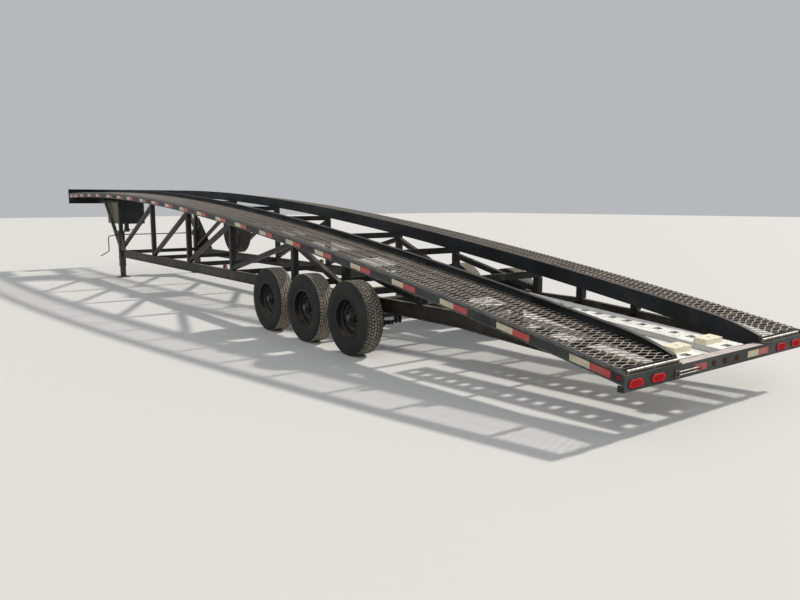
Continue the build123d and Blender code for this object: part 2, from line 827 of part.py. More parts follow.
def rim_shell():
    """Rim well and dished disc with hand holes."""
    barrel = [
        (206, -95),
        (206, -62),
        (190, -46),
        (190, 36),
        (206, 50),
        (206, 95),
        (222, 101.5),
        (222, 105.5),
        (204, 105.5),
        (198, 48),
        (182, 32),
        (182, -44),
        (198, -60),
        (204, -105.5),
        (222, -105.5),
        (222, -101.5),
    ]
    disc = [
        (60, -4),
        (116, -4),
        (134, 22),
        (160, 24),
        (183, -14),
        (183, 0),
        (163, 33),
        (130, 32),
        (110, 6),
        (60, 6),
    ]
    shell = lathe(barrel) + lathe(disc)
    for i in range(LUG_COUNT):
        shell -= Rot(0, 360 / LUG_COUNT * (i + 0.5), 0) * across_cylinder(147, 0, HAND_HOLE_RADIUS, (10, 50))
    return shell


def hub():
    """Brake drum and hub, bored for the spindle."""
    bore = SPINDLE_RADIUS + BEARING_CLEARANCE
    outline = [
        (bore, DRUM_INNER_Y),
        (DRUM_RADIUS, DRUM_INNER_Y),
        (DRUM_RADIUS, -40),
        (105, -4),
        (62, -4),
        (60, 46),
        (43, 48),
        (40, 84),
        (0, 88),
        (0, 48),
        (bore, 48),
    ]
    return lathe(outline)


def wheels():
    tyre_solid = tyre()
    rim_solid = rim_shell() + hub()
    for name, x in zip(AXLE_NAMES, AXLE_X):
        place = Pos(x, WHEEL_Y, WHEEL_RADIUS)
        for side in ("left", "right"):
            pieces = [place * tyre_solid, place * rim_solid]
            if side == "right":
                pieces = [mirror(piece, about=Plane.XZ) for piece in pieces]
            save(f"tyre_{name}_{side}", [pieces[0]])
            save(f"wheel_{name}_{side}", [pieces[1]])


def spare_wheel():
    place = Pos(SPARE_X, SPARE_Y, SPARE_Z)
    save("spare_tyre", [place * tyre()])
    save("spare_rim", [place * rim_shell()])
    start = STATION_X["B"] + CROSS_BEAM_FLANGE / 2
    end = STATION_X["A"] - CROSS_BEAM_FLANGE / 2
    disc_face = SPARE_Y - 4
    half = CARRIER_BAR / 2
    clear = SPARE_Y - TYRE_WIDTH / 2 - CARRIER_GAP
    drop_y = (clear - CARRIER_BAR, clear)
    top = (beam_top(start) - CARRIER_DROP, beam_top(end) - CARRIER_DROP)
    bar = [(start, top[0]), (end, top[1]), (end, top[1] - CARRIER_BAR), (start, top[0] - CARRIER_BAR)]
    carrier = side_prism(bar, drop_y)
    under = beam_top(SPARE_X) - CARRIER_DROP - half
    low = SPARE_Z - CARRIER_TUBE_RADIUS - CARRIER_DISC * 2
    carrier += box((SPARE_X - half, SPARE_X + half), drop_y, (low, under))
    carrier += across_cylinder(SPARE_X, SPARE_Z, CARRIER_TUBE_RADIUS, (clear - 1, disc_face))
    disc_y = (disc_face - CARRIER_DISC, disc_face)
    carrier += across_cylinder(SPARE_X, SPARE_Z, CARRIER_DISC_RADIUS, disc_y)
    boss_y = (disc_face, disc_face + CARRIER_BOSS)
    carrier += across_cylinder(SPARE_X, SPARE_Z, CARRIER_BOSS_RADIUS, boss_y)
    save("spare_carrier", [carrier])


# Tool box


def tool_box():
    """A box of folded sheet with its door opening to the rear."""
    outer = box(BOX_X, BOX_Y, BOX_Z)
    inner_y = (BOX_Y[0] + BOX_WALL, BOX_Y[1] - BOX_WALL)
    inner_z = (BOX_Z[0] + BOX_WALL, BOX_Z[1] - BOX_WALL)
    body = outer - box((BOX_X[0] + BOX_WALL, BOX_X[1] - BOX_WALL), inner_y, inner_z)
    mouth_y = (BOX_Y[0] + BOX_RIM, BOX_Y[1] - BOX_RIM)
    mouth_z = (BOX_Z[0] + BOX_RIM, BOX_Z[1] - BOX_RIM)
    body -= box((BOX_X[0] - 1, BOX_X[0] + BOX_WALL + 1), mouth_y, mouth_z)
    knuckles = (BOX_Y[0] + KNUCKLE_INSET, BOX_Y[1] - KNUCKLE_INSET - KNUCKLE_LENGTH)
    for y in knuckles:
        lug = (y - KNUCKLE_LUG, y)
        body += box((DOOR_HINGE_X - 7, BOX_X[0]), lug, (DOOR_HINGE_Z - 7, DOOR_HINGE_Z + 7))
        pin = (y, y + KNUCKLE_LENGTH)
        body += across_cylinder(DOOR_HINGE_X, DOOR_HINGE_Z, DOOR_PIN_RADIUS, pin)
    save("tool_box", [body])

    door_x = (DOOR_HINGE_X - DOOR_THICKNESS / 2, DOOR_HINGE_X + DOOR_THICKNESS / 2)
    door_y = (BOX_Y[0] + DOOR_MARGIN, BOX_Y[1] - DOOR_MARGIN)
    door_z = (DOOR_HINGE_Z + DOOR_RISE, BOX_Z[1] - DOOR_MARGIN)
    door = box(door_x, door_y, door_z)
    rib = DOOR_PANEL_RIB
    panel_y = (door_y[0] + DOOR_PANEL_INSET, door_y[1] - DOOR_PANEL_INSET)
    panel_z = (door_z[0] + DOOR_PANEL_INSET, door_z[1] - DOOR_PANEL_INSET)
    door += box((door_x[0] - DOOR_PANEL_RELIEF, door_x[0]), panel_y, panel_z)
    door -= box(
        (door_x[0] - DOOR_PANEL_RELIEF - 1, door_x[0]),
        (panel_y[0] + rib, panel_y[1] - rib),
        (panel_z[0] + rib, panel_z[1] - rib),
    )
    catch_z = (door_z[1] - CATCH_DROP[1], door_z[1] - CATCH_DROP[0])
    for y in (door_y[0] + CATCH_INSET, door_y[1] - CATCH_INSET - CATCH_WIDTH):
        door += box((door_x[0] - CATCH_RELIEF, door_x[0]), (y, y + CATCH_WIDTH), catch_z)
    for y in knuckles:
        span = (y + 2, y + KNUCKLE_LENGTH - 4)
        door += across_cylinder(DOOR_HINGE_X, DOOR_HINGE_Z, DOOR_KNUCKLE_RADIUS, span)
        door += box(door_x, span, (DOOR_HINGE_Z + 4, door_z[0] + 1))
        door -= across_cylinder(DOOR_HINGE_X, DOOR_HINGE_Z, DOOR_PIN_RADIUS + 0.05, span)
    save("tool_box_door", [door])

    hangers = []
    width, thickness = HANGER_STRAP
    rail_low = INNER_RAIL_DEPTH - INNER_RAIL_LIP
    top = BOX_Z[1] + thickness
    for x in (BOX_X[0] + 150, BOX_X[1] - 200):
        strap = box((x, x + width), (BOX_Y[0] + 20, BOX_Y[1] - 20), (BOX_Z[1], top))
        post = [
            (x, top),
            (x + width, top),
            (x + width, arch_z(x + width, rail_low)),
            (x, arch_z(x, rail_low)),
        ]
        hangers.append(strap + side_prism(post, (INNER_RAIL_Y, INNER_RAIL_Y + HANGER_POST)))
    save("tool_box_hangers", hangers)


# Neck, coupler and front beam


def neck():
    y = (-HALF_WIDTH, HALF_WIDTH)
    x = FRONT_BEAM
    z = FRONT_BEAM_Z
    wall = CHANNEL_WALL
    outline = [
        (x[1], z[1]),
        (x[0], z[1]),
        (x[0], z[1] - wall),
        (x[1] - wall, z[1] - wall),
        (x[1] - wall, z[0] + wall),
        (x[0], z[0] + wall),
        (x[0], z[0]),
        (x[1], z[0]),
    ]
    save("front_beam", [side_prism(outline, y)])

    rail_low = INNER_RAIL_DEPTH - INNER_RAIL_LIP
    side = [
        (NECK_X[0], NECK_BOTTOM + NECK_RAMP[1]),
        (NECK_X[0] + NECK_RAMP[0], NECK_BOTTOM),
        (NECK_X[1], NECK_BOTTOM),
        (NECK_X[1], arch_z(NECK_X[1], rail_low)),
        (NECK_X[0], arch_z(NECK_X[0], rail_low)),
    ]
    beam_y = (INNER_RAIL_Y, INNER_RAIL_Y + INNER_RAIL_FLANGE)
    left = side_prism(side, beam_y)
    right = side_prism(side, (-beam_y[1], -beam_y[0]))
    beams = [left, right]
    reach = (-INNER_RAIL_Y, INNER_RAIL_Y)
    top = NECK_BOTTOM + NECK_CROSS_DEPTH
    for cross_x in NECK_CROSS_X:
        beams.append(cross_channel(cross_x, reach, top, depth=NECK_CROSS_DEPTH, flange=NECK_CROSS_FLANGE))
    save("neck_beams", beams)
    coupler()


def upright_cylinder(radius, z):
    """An upright cylinder on the coupler's axis."""
    return Solid.make_cylinder(radius, z[1] - z[0], Plane((COUPLER_X, 0, z[0])))


def coupler():
    """The coupler's tube under its plate, and the ball socket with its latch on the inner stem."""
    top = NECK_BOTTOM + NECK_CROSS_DEPTH
    under = top - COUPLER_PLATE
    half = COUPLER_PLATE_HALF_WIDTH
    tube = box((COUPLER_PLATE_REAR, FRONT_BEAM[0]), (-half, half), (under, top))
    tube += upright_cylinder(COUPLER_TUBE_RADIUS, (COUPLER_TUBE_BOTTOM, under))
    tube -= upright_cylinder(COUPLER_INNER_RADIUS + 1, (COUPLER_TUBE_BOTTOM - 1, COUPLER_STEM_TOP + 9))
    tube_face = COUPLER_X - COUPLER_TUBE_RADIUS + 2
    gusset = [
        (tube_face, under),
        (COUPLER_PLATE_REAR + 2, under),
        (tube_face, top - COUPLER_GUSSET_DROP),
    ]
    tube += side_prism(gusset, (-COUPLER_GUSSET / 2, COUPLER_GUSSET / 2))
    save("coupler_tube", [tube])

    bottom = SOCKET_BOTTOM
    socket = upright_cylinder(COUPLER_INNER_RADIUS, (bottom, COUPLER_STEM_TOP))
    socket += upright_cylinder(SOCKET_BLOCK_RADIUS, (bottom, bottom + SOCKET_BLOCK_HEIGHT))
    block_x = [COUPLER_X + x for x in LATCH_BLOCK_X]
    block_z = [bottom + z for z in LATCH_BLOCK_Z]
    socket += box(block_x, (-LATCH_BLOCK_HALF_WIDTH, LATCH_BLOCK_HALF_WIDTH), block_z)
    socket -= upright_cylinder(SOCKET_RADIUS, (bottom, bottom + SOCKET_DEPTH))
    handle_x = COUPLER_X + LATCH_HANDLE_X
    handle = [bottom + z for z in LATCH_HANDLE_Z]
    ends = ((handle_x, 0, handle[0]), (handle_x, -LATCH_HANDLE_REACH, handle[1]))
    socket += rod(*ends, LATCH_HANDLE_RADIUS)
    save("coupler_socket", [socket])


# Rear beam, lamps and ramp fittings


def rear_beam():
    """Bumper channel with lamp cut-outs, a low step between the runways and an upstand under each."""
    face_x = (BUMPER_FACE_X, BUMPER_FACE_X + BUMPER_WALL)
    lip_x = (face_x[1], REAR_BEAM_DEPTH)
    step_x = (face_x[1], REAR_STEP_REACH)
    end_y = OUTER_RAIL_FACE - CHANNEL_WALL
    step_y = INNER_RAIL_Y
    beam = box(face_x, (-end_y, end_y), (TAIL_BOTTOM, REAR_STEP_TOP))
    beam += box(lip_x, (-end_y, end_y), (TAIL_BOTTOM, TAIL_BOTTOM + BUMPER_WALL))
    beam += box(step_x, (-step_y, step_y), (REAR_STEP_TOP - BUMPER_WALL, REAR_STEP_TOP))
    for side in (-1, 1):
        runway_y = sorted((side * step_y, side * end_y))
        beam += box(face_x, runway_y, (REAR_STEP_TOP, REAR_BEAM_TOP))
        beam += box(lip_x, runway_y, (REAR_BEAM_TOP - BUMPER_WALL, REAR_BEAM_TOP))
        upstand_top = arch_z(REAR_BEAM_DEPTH, TREAD_THICKNESS)
        upstand_x = (REAR_BEAM_DEPTH - BUMPER_WALL, REAR_BEAM_DEPTH)
        beam += box(upstand_x, runway_y, (REAR_BEAM_TOP, upstand_top))
        end_plate_y = sorted((side * end_y, side * OUTER_RAIL_FACE))
        beam += box((BUMPER_FACE_X, REAR_BEAM_DEPTH), end_plate_y, (TAIL_BOTTOM, BUMPER_END_TOP))
    for centre in TAIL_LAMP_Y:
        for side in (-1, 1):
            beam -= lamp_body(side * centre, (0, REAR_BEAM_DEPTH), LAMP_PLAY)
    for centre in ID_LAMP_Y:
        hole = ((0, centre, LAMP_Z), (REAR_BEAM_DEPTH, centre, LAMP_Z))
        beam -= rod(*hole, ID_LAMP_RADIUS + LAMP_PLAY)
    save("rear_beam", [beam])


def lamp_body(centre, x, margin=0.0):
    """A long round-ended lamp through the bumper."""
    width, height = TAIL_LAMP_SIZE
    outline = SlotOverall(width + 2 * margin, height + 2 * margin)
    face = Plane((x[0], centre, LAMP_Z), x_dir=(0, 1, 0), z_dir=(1, 0, 0))
    return extrude(face * outline, amount=x[1] - x[0], dir=(1, 0, 0))


def rear_lamps():
    """Tail and identification lamps, each with a grommet's lip against the bumper's face."""
    lip_x = (BUMPER_FACE_X - GROMMET_LIP, BUMPER_FACE_X)
    lamps = []
    for centre in TAIL_LAMP_Y:
        lamp = lamp_body(centre, TAIL_LAMP_X)
        lamps.append(lamp + lamp_body(centre, lip_x, GROMMET))
    save("tail_lamps", mirrored(lamps))
    small = []
    for centre in ID_LAMP_Y:
        lamp = rod((ID_LAMP_X[0], centre, LAMP_Z), (ID_LAMP_X[1], centre, LAMP_Z), ID_LAMP_RADIUS)
        lip = rod((lip_x[0], centre, LAMP_Z), (lip_x[1], centre, LAMP_Z), ID_LAMP_RADIUS + GROMMET)
        small.append(lamp + lip)
    save("id_lamps", small)


def ramp_bars():
    """A round bar across each runway's rear edge, on three lugs, for the ramps' hooks."""
    y = (INNER_RAIL_Y + RAMP_BAR_INSETS[0], OUTER_RAIL_FACE - RAMP_BAR_INSETS[1])
    bar = across_cylinder(RAMP_BAR_X, RAMP_BAR_Z, RAMP_BAR_RADIUS, y)
    half_x, half_y = RAMP_BAR_LUG[0] / 2, RAMP_BAR_LUG[1] / 2
    for centre in (y[0] + half_y, sum(y) / 2, y[1] - half_y):
        lug_x = (RAMP_BAR_X - half_x, RAMP_BAR_X + half_x)
        bar += box(lug_x, (centre - half_y, centre + half_y), (REAR_BEAM_TOP, RAMP_BAR_Z - 2))
    save("ramp_bars", mirrored([bar]))


def ramp_latch():
    """An upright plate on the bumper's left side with two draw rods, which lock the stowed ramps."""
    rod_x = BUMPER_FACE_X / 2
    height = (LATCH_Z - LATCH_PLATE_HALF_HEIGHT, LATCH_Z + LATCH_PLATE_HALF_HEIGHT)
    latch = box((4, BUMPER_FACE_X), LATCH_PLATE_Y, height)
    hasp_y = (LATCH_PLATE_Y[0] + HASP_INSET, LATCH_PLATE_Y[1] - HASP_INSET)
    latch += box((0, BUMPER_FACE_X), hasp_y, (LATCH_Z - HASP_HALF_HEIGHT, LATCH_Z + HASP_HALF_HEIGHT))
    for side in (-1, 1):
        z = LATCH_Z + side * LATCH_ROD_OFFSET
        latch += rod((rod_x, LATCH_ROD_END_Y, z), (rod_x, LATCH_PLATE_Y[0] + 2, z), LATCH_ROD_RADIUS)
    foot_z = (LATCH_Z - LATCH_FOOT_HALF_HEIGHT, LATCH_Z + LATCH_FOOT_HALF_HEIGHT)
    latch += box((2, BUMPER_FACE_X), LATCH_FOOT_Y, foot_z)
    save("ramp_latch", [latch])


def side_markers():
    """Thin round marker lenses on the outer rails' sides."""
    face = (OUTER_RAIL_FACE, OUTER_RAIL_FACE + SIDE_LENS_THICKNESS)
    lenses = []
    for x in SIDE_MARKER_X:
        lenses.append(across_cylinder(x, arch_z(x, SIDE_MARKER_DROP), SIDE_MARKER_RADIUS, face))
    save("side_markers", mirrored(lenses))


def chord_markers():
    """Box lamps on brackets on the lower chords."""
    x = CHORD_MARKER_X
    y = TRUSS_Y + LOWER_FLANGE / 2
    base = LOWER_TOP + CHORD_BRACKET
    bracket_x = (x - CHORD_BRACKET_HALF, x + CHORD_BRACKET_HALF)
    lamp_x = (x - CHORD_LAMP_HALF, x + CHORD_LAMP_HALF)
    bracket = box(bracket_x, (TRUSS_Y - 20, y + 4), (LOWER_TOP, base))
    lamp = box(lamp_x, (TRUSS_Y + 4, y + 6), (base, base + CHORD_LAMP_HEIGHT))
    save("chord_markers", mirrored([bracket + lamp]))


def ramps():
    """Two ladder ramps stowed between the runways: a plate with cut-outs and turned-down sides."""
    slope = -math.degrees(math.atan(RAMP_RISE))
    rise = ramp_height(RAMP_REAR_X)
    plates = []
    hooks = []
    half = RAMP_WIDTH / 2
    for centre, hook_y, hook_x in RAMPS:
        place = Pos(RAMP_REAR_X, 0, rise) * Rot(0, slope, 0)
        y = (centre - half, centre + half)
        ramp = box((0, RAMP_LENGTH), y, (-RAMP_SHEET, 0))
        for edge in ((y[0], y[0] + RAMP_SHEET), (y[1] - RAMP_SHEET, y[1])):
            ramp += box((0, RAMP_LENGTH), edge, (-RAMP_DEPTH, 0))
        cut_y = (centre - RAMP_CUTOUT[1] / 2, centre + RAMP_CUTOUT[1] / 2)
        for i in range(RAMP_CUTOUTS):
            x = RAMP_CUTOUT_START + i * RAMP_CUTOUT_PITCH
            ramp -= box((x, x + RAMP_CUTOUT[0]), cut_y, (-RAMP_SHEET - 1, 1))
        plates.append(place * ramp)
        block_x = (hook_x[0] - RAMP_REAR_X, hook_x[1] - RAMP_REAR_X)
        block = box(block_x, hook_y, (0, HOOK_HEIGHT))
        middle = (sum(block_x) / 2, sum(hook_y) / 2, HOOK_HEIGHT - HOOK_HOLE_DEPTH)
        block -= Solid.make_cylinder(HOOK_HOLE_RADIUS, HOOK_HOLE_DEPTH + 1, Plane(middle))
        hooks.append(place * block)
    save("ramps", plates)
    save("ramp_hooks", hooks)


outer_rails()
inner_rails()
runway_tread()
runway_angles()
lower_rails()
truss_posts()
truss_braces()
upper_cross_beams()
lower_cross_beams()
jacks()
axles()
leaf_springs()
spring_hangers()
wheels()
spare_wheel()
tool_box()
neck()
rear_beam()
rear_lamps()
ramp_bars()
ramp_latch()
side_markers()
chord_markers()
ramps()
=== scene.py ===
import math

import bpy
from mathutils import Matrix, Vector


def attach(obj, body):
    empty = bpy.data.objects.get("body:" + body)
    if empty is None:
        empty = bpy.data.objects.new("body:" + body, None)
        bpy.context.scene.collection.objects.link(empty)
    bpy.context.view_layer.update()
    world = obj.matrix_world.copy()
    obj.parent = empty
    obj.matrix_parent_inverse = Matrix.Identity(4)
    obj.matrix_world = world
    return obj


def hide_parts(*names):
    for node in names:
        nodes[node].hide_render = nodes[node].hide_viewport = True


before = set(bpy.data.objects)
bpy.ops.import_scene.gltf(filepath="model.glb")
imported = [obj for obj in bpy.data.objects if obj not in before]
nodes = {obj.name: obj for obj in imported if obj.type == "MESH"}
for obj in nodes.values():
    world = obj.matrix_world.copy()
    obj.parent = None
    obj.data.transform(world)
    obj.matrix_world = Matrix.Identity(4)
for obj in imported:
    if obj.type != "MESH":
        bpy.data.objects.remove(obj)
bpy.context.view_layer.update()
scene = bpy.context.scene
scene.view_settings.view_transform = "Standard"

# Lengths are in millimetres, and x runs forward from the rear end.
LENGTH = 16150
ARCH_RADIUS = 82700
CROWN_X = 14975
CROWN_Z = 1871
RAIL_FACE = 1294.5
TREAD_START = 60
TREAD_END = 16070
TREAD_Y = (656, 1291)
WHEEL_X = {"rear": 3485, "middle": 4430, "front": 5375}
WHEEL_Y = 1172.5
WHEEL_Z = 403
SPARE = (9620, -220, 1112)
TRUSS_Y = (-850, 850)
BUMPER_FACE = 12
LAMP_Z = 402
SIDES = (("left", 1), ("right", -1))


def arch_z(x, drop=0.0):
    """Height of the deck arch at x, drop below the tread."""
    radius = ARCH_RADIUS - drop
    return CROWN_Z - ARCH_RADIUS + math.sqrt(radius**2 - (x - CROWN_X) ** 2)


def metres(point):
    """The point in metres, in the part's own frame, whose origin is at mid-length."""
    return ((point[0] - LENGTH / 2) / 1000, point[1] / 1000, point[2] / 1000)


# Camera, stage and light

CAMERA_PLACE = (-2760, 5231, 1615)
# Yaw, pitch and roll, in degrees
CAMERA_TURNS = (-36.766, 7.838, -0.06)
FOCAL_PIXELS = 702.5
PICTURE_WIDTH = 800
SENSOR_WIDTH = 36.0
FLOOR_HALF = 80


def add_camera():
    """The camera stands behind the trailer, out to its left, and looks a little down."""
    yaw, pitch, roll = (math.radians(turn) for turn in CAMERA_TURNS)
    level = math.cos(pitch)
    forward = Vector((level * math.cos(yaw), level * math.sin(yaw), -math.sin(pitch)))
    side = Vector((math.sin(yaw), -math.cos(yaw), 0.0))
    above = side.cross(forward)
    right = side * math.cos(roll) + above * math.sin(roll)
    up = above * math.cos(roll) - side * math.sin(roll)
    data = bpy.data.cameras.new("camera")
    camera = bpy.data.objects.new("camera", data)
    scene.collection.objects.link(camera)
    data.sensor_width = SENSOR_WIDTH
    data.lens = FOCAL_PIXELS / PICTURE_WIDTH * SENSOR_WIDTH
    data.clip_end = 200
    rotation = Matrix((right, up, -forward)).transposed().to_4x4()
    camera.matrix_world = Matrix.Translation(metres(CAMERA_PLACE)) @ rotation
    bpy.context.scene.camera = camera


def add_floor():
    half = FLOOR_HALF
    mesh = bpy.data.meshes.new("floor")
    corners = [(-half, -half, 0), (half, -half, 0), (half, half, 0), (-half, half, 0)]
    mesh.from_pydata(corners, [], [(0, 1, 2, 3)])
    floor = bpy.data.objects.new("floor", mesh)
    scene.collection.objects.link(floor)
    material = bpy.data.materials.new("floor")
    material.use_nodes = True
    shader = material.node_tree.nodes["Principled BSDF"]
    shader.inputs["Base Color"].default_value = (0.66, 0.65, 0.63, 1)
    shader.inputs["Roughness"].default_value = 0.9
    mesh.materials.append(material)


def add_sky():
    world = bpy.data.worlds.new("world")
    scene.world = world
    world.use_nodes = True
    background = world.node_tree.nodes["Background"]
    background.inputs["Color"].default_value = (0.90, 0.93, 0.97, 1)
    background.inputs["Strength"].default_value = 0.52


def add_sun(name, energy, spread, aim, color=(1.0, 1.0, 1.0)):
    """A sun that shines along aim, its spread in degrees."""
    light = bpy.data.lights.new(name, "SUN")
    light.energy = energy
    light.angle = math.radians(spread)
    light.color = color
    sun = bpy.data.objects.new(name, light)
    scene.collection.objects.link(sun)
    sun.rotation_euler = Vector(aim).to_track_quat("-Z", "Y").to_euler()


# Materials


class Nodes:
    """Short calls for building one material's nodes."""

    def __init__(self, name):
        self.material = bpy.data.materials.new(name)
        self.material.use_nodes = True
        self.tree = self.material.node_tree
        self.shader = self.tree.nodes["Principled BSDF"]
        self.place = self.node("TexCoord").outputs["Object"]

    def node(self, kind):
        return self.tree.nodes.new("ShaderNode" + kind)

    def put(self, value, socket):
        if isinstance(value, (int, float)):
            socket.default_value = value
        elif isinstance(value, tuple):
            socket.default_value = (*value, 1) if len(value) == 3 else value
        else:
            self.tree.links.new(value, socket)

    def calc(self, operation, a, b=0.0):
        node = self.node("Math")
        node.operation = operation
        self.put(a, node.inputs[0])
        self.put(b, node.inputs[1])
        return node.outputs[0]

    def times(self, a, b):
        return self.calc("MULTIPLY", a, b)

    def noise(self, scale, detail, stretch=None):
        node = self.node("TexNoise")
        node.inputs["Scale"].default_value = scale
        node.inputs["Detail"].default_value = detail
        place = self.place
        if stretch:
            mapping = self.node("Mapping")
            mapping.inputs["Scale"].default_value = stretch
            self.put(place, mapping.inputs["Vector"])
            place = mapping.outputs[0]
        self.put(place, node.inputs["Vector"])
        return node.outputs["Fac"]

    def cells(self, scale):
        """Distance to the nearest cell's middle, in a fine cell pattern."""
        node = self.node("TexVoronoi")
        node.inputs["Scale"].default_value = scale
        self.put(self.place, node.inputs["Vector"])
        return node.outputs["Distance"]

    def remap(self, value, low, high, to_low=0.0, to_high=1.0):
        node = self.node("MapRange")
        node.interpolation_type = "SMOOTHSTEP"
        self.put(value, node.inputs["Value"])
        limits = {"From Min": low, "From Max": high, "To Min": to_low, "To Max": to_high}
        for name, number in limits.items():
            node.inputs[name].default_value = number
        return node.outputs["Result"]

    def mix(self, factor, a, b):
        node = self.node("Mix")
        node.data_type = "RGBA"
        self.put(factor, node.inputs["Factor"])
        self.put(a, node.inputs["A"])
        self.put(b, node.inputs["B"])
        return node.outputs["Result"]

    def split(self, vector, index):
        node = self.node("SeparateXYZ")
        self.put(vector, node.inputs[0])
        return node.outputs[index]

    def part(self, index):
        """The place's x, y or z, in metres."""
        return self.split(self.place, index)

    def facing(self, index):
        """The normal's x, y or z."""
        return self.split(self.node("NewGeometry").outputs["Normal"], index)

    def upward(self):
        return self.facing(2)

    def arch_drop(self):
        """Depth below the tread, in metres, for wear that follows the arch."""
        dx = self.calc("SUBTRACT", self.part(0), (CROWN_X - LENGTH / 2) / 1000)
        dz = self.calc("SUBTRACT", self.part(2), (CROWN_Z - ARCH_RADIUS) / 1000)
        squares = self.calc("ADD", self.times(dx, dx), self.times(dz, dz))
        return self.calc("SUBTRACT", ARCH_RADIUS / 1000, self.calc("SQRT", squares))

    def bump(self, height, strength, distance):
        node = self.node("Bump")
        node.inputs["Strength"].default_value = strength
        node.inputs["Distance"].default_value = distance
        self.put(height, node.inputs["Height"])
        self.tree.links.new(node.outputs[0], self.shader.inputs["Normal"])

    def finish(self, color, roughness, metallic=0.0, specular=0.5):
        self.shader.inputs["Specular IOR Level"].default_value = specular
        self.put(color, self.shader.inputs["Base Color"])
        self.put(roughness, self.shader.inputs["Roughness"])
        self.put(metallic, self.shader.inputs["Metallic"])
        return self.material


def scaled(color, factor, lift=0.0):
    return tuple(min(1.0, c * factor + lift) for c in color)


DUST = (0.30, 0.245, 0.18)
RUST = (0.115, 0.045, 0.020)


def painted_steel(name, paint, dusty=0.55, rusty=0.12, gloss=0.38, tone=None):
    """Sprayed paint over rolled steel, with road dust where it can lie, stains, chips and rust."""
    n = Nodes(name)
    broad = n.noise(1.7, 3)
    fine = n.noise(38, 5)
    streak = n.noise(9, 4, (1.0, 1.0, 0.16))
    darker = scaled(paint, 0.62)
    lighter = scaled(paint, 1.5, 0.004)
    color = n.mix(n.remap(broad, 0.35, 0.68), darker, lighter)
    color = n.mix(n.times(n.remap(fine, 0.45, 0.8), 0.35), color, lighter)
    lies = n.remap(n.upward(), 0.25, 0.9, 0.04, 1.0)
    patch = n.remap(n.noise(5.5, 6), 0.36, 0.70, 0.25, 1.0)
    dust = n.times(n.times(lies, patch), dusty)
    stain = n.times(n.remap(streak, 0.52, 0.74), dusty * 0.18)
    dust = n.calc("MAXIMUM", dust, stain)
    color = n.mix(dust, color, DUST)
    chips = n.remap(n.noise(62, 3), 0.66, 0.72)
    worn = n.remap(n.noise(3.1, 4), 0.48, 0.66)
    chips = n.times(n.times(chips, worn), min(1.0, rusty * 6))
    color = n.mix(chips, color, RUST)
    bloom = n.times(n.remap(n.noise(11, 6), 0.60, 0.78), rusty)
    color = n.mix(bloom, color, RUST)
    if tone:
        color = tone(n, color)
    rough = n.calc("ADD", n.times(dust, 0.35), n.remap(fine, 0.3, 0.8, gloss, gloss + 0.16))
    n.bump(n.calc("ADD", fine, n.times(chips, -0.6)), 0.25, 0.0015)
    return n.finish(color, rough, 0.0, 0.22)


def rail_edges_and_sky_sheen(n, color):
    """Pale ragged strips along the outer rails' top and bottom edges, and a bluish painted sky reflection
    on faces that face up.
    """
    drop = n.arch_drop()
    ragged = n.times(n.calc("SUBTRACT", n.noise(26, 5), 0.5), 0.030)
    top = n.remap(n.calc("ADD", drop, ragged), 0.020, 0.038, 0.85, 0.0)
    low = n.remap(n.calc("ADD", drop, ragged), 0.096, 0.106, 0.0, 0.75)
    worn = n.calc("MAXIMUM", top, low)
    worn = n.times(worn, n.remap(n.noise(7, 5), 0.28, 0.62, 0.35, 1.0))
    color = n.mix(worn, color, (0.155, 0.150, 0.140))
    # Painted sky reflection: faces that face up turn a paler blue
    sky_sheen_on_top = n.remap(n.upward(), 0.6, 0.9, 0.0, 0.8)
    return n.mix(sky_sheen_on_top, color, (0.060, 0.067, 0.085))


def step_wear_and_sunlit_top(n, color):
    """The rear step's top between the runways is pale, worn by feet and painted lighter as sunlit, and the
    bumper's ends are dark.
    """
    inside = n.remap(n.calc("ABSOLUTE", n.part(1)), 0.600, 0.606, 1.0, 0.0)
    on_top = n.remap(n.upward(), 0.6, 0.9)
    # Painted sunlight and wear on the step's top between the runways
    sunlit_walked_top = n.times(inside, on_top)
    sunlit_and_bare = n.times(sunlit_walked_top, n.remap(n.noise(9, 5), 0.25, 0.6, 0.7, 1.0))
    scuff = n.times(n.remap(n.noise(30, 5, (1.0, 0.2, 1.0)), 0.5, 0.7), 0.5)
    pale = n.mix(scuff, (0.60, 0.52, 0.485), (0.42, 0.36, 0.33))
    ends = n.remap(n.calc("ABSOLUTE", n.part(1)), 1.282, 1.287, 0.0, 0.85)
    color = n.mix(ends, color, (0.012, 0.014, 0.014))
    return n.mix(sunlit_and_bare, color, pale)


def right_gusset_shade(n, color):
    """The right jack's gusset is darkened as painted shade; the left one keeps the plate's rust brown."""
    right = n.remap(n.part(1), -0.1, 0.1, 0.9, 0.0)
    # Painted shade on the right gusset
    return n.mix(right, color, (0.020, 0.020, 0.018))


def worn_metal(name, light, dark, metallic, rough, tone=None):
    """Bare worn steel with brown stains, and painted shade darkening faces that don't face up."""
    n = Nodes(name)
    broad = n.noise(2.6, 5)
    fine = n.noise(30, 6)
    color = n.mix(n.remap(fine, 0.36, 0.66), dark, light)
    color = n.mix(n.times(n.remap(broad, 0.42, 0.66), 0.6), color, dark)
    # Painted shade on faces that don't face up
    under = n.remap(n.upward(), -0.2, 0.75, 0.75, 0.0)
    color = n.mix(under, color, scaled(dark, 0.30))
    specks = n.times(n.remap(n.noise(55, 4), 0.60, 0.70), 0.55)
    color = n.mix(specks, color, RUST)
    if tone:
        color = tone(n, color)
    n.bump(fine, 0.3, 0.001)
    return n.finish(color, n.remap(fine, 0.3, 0.75, rough + 0.2, rough), metallic)


def runway_rear_highlight(n, color):
    """The runways are painted brighter near the ramps, a painted highlight, and darker towards the neck."""
    along = n.part(0)
    wander = n.remap(n.noise(1.3, 3), 0.3, 0.7, -0.9, 0.9)
    # Painted highlight fading forward from the ramps
    forward = n.remap(n.calc("ADD", along, wander), -6.6, -2.0, 0.0, 0.72)
    return n.mix(forward, color, (0.150, 0.135, 0.115))


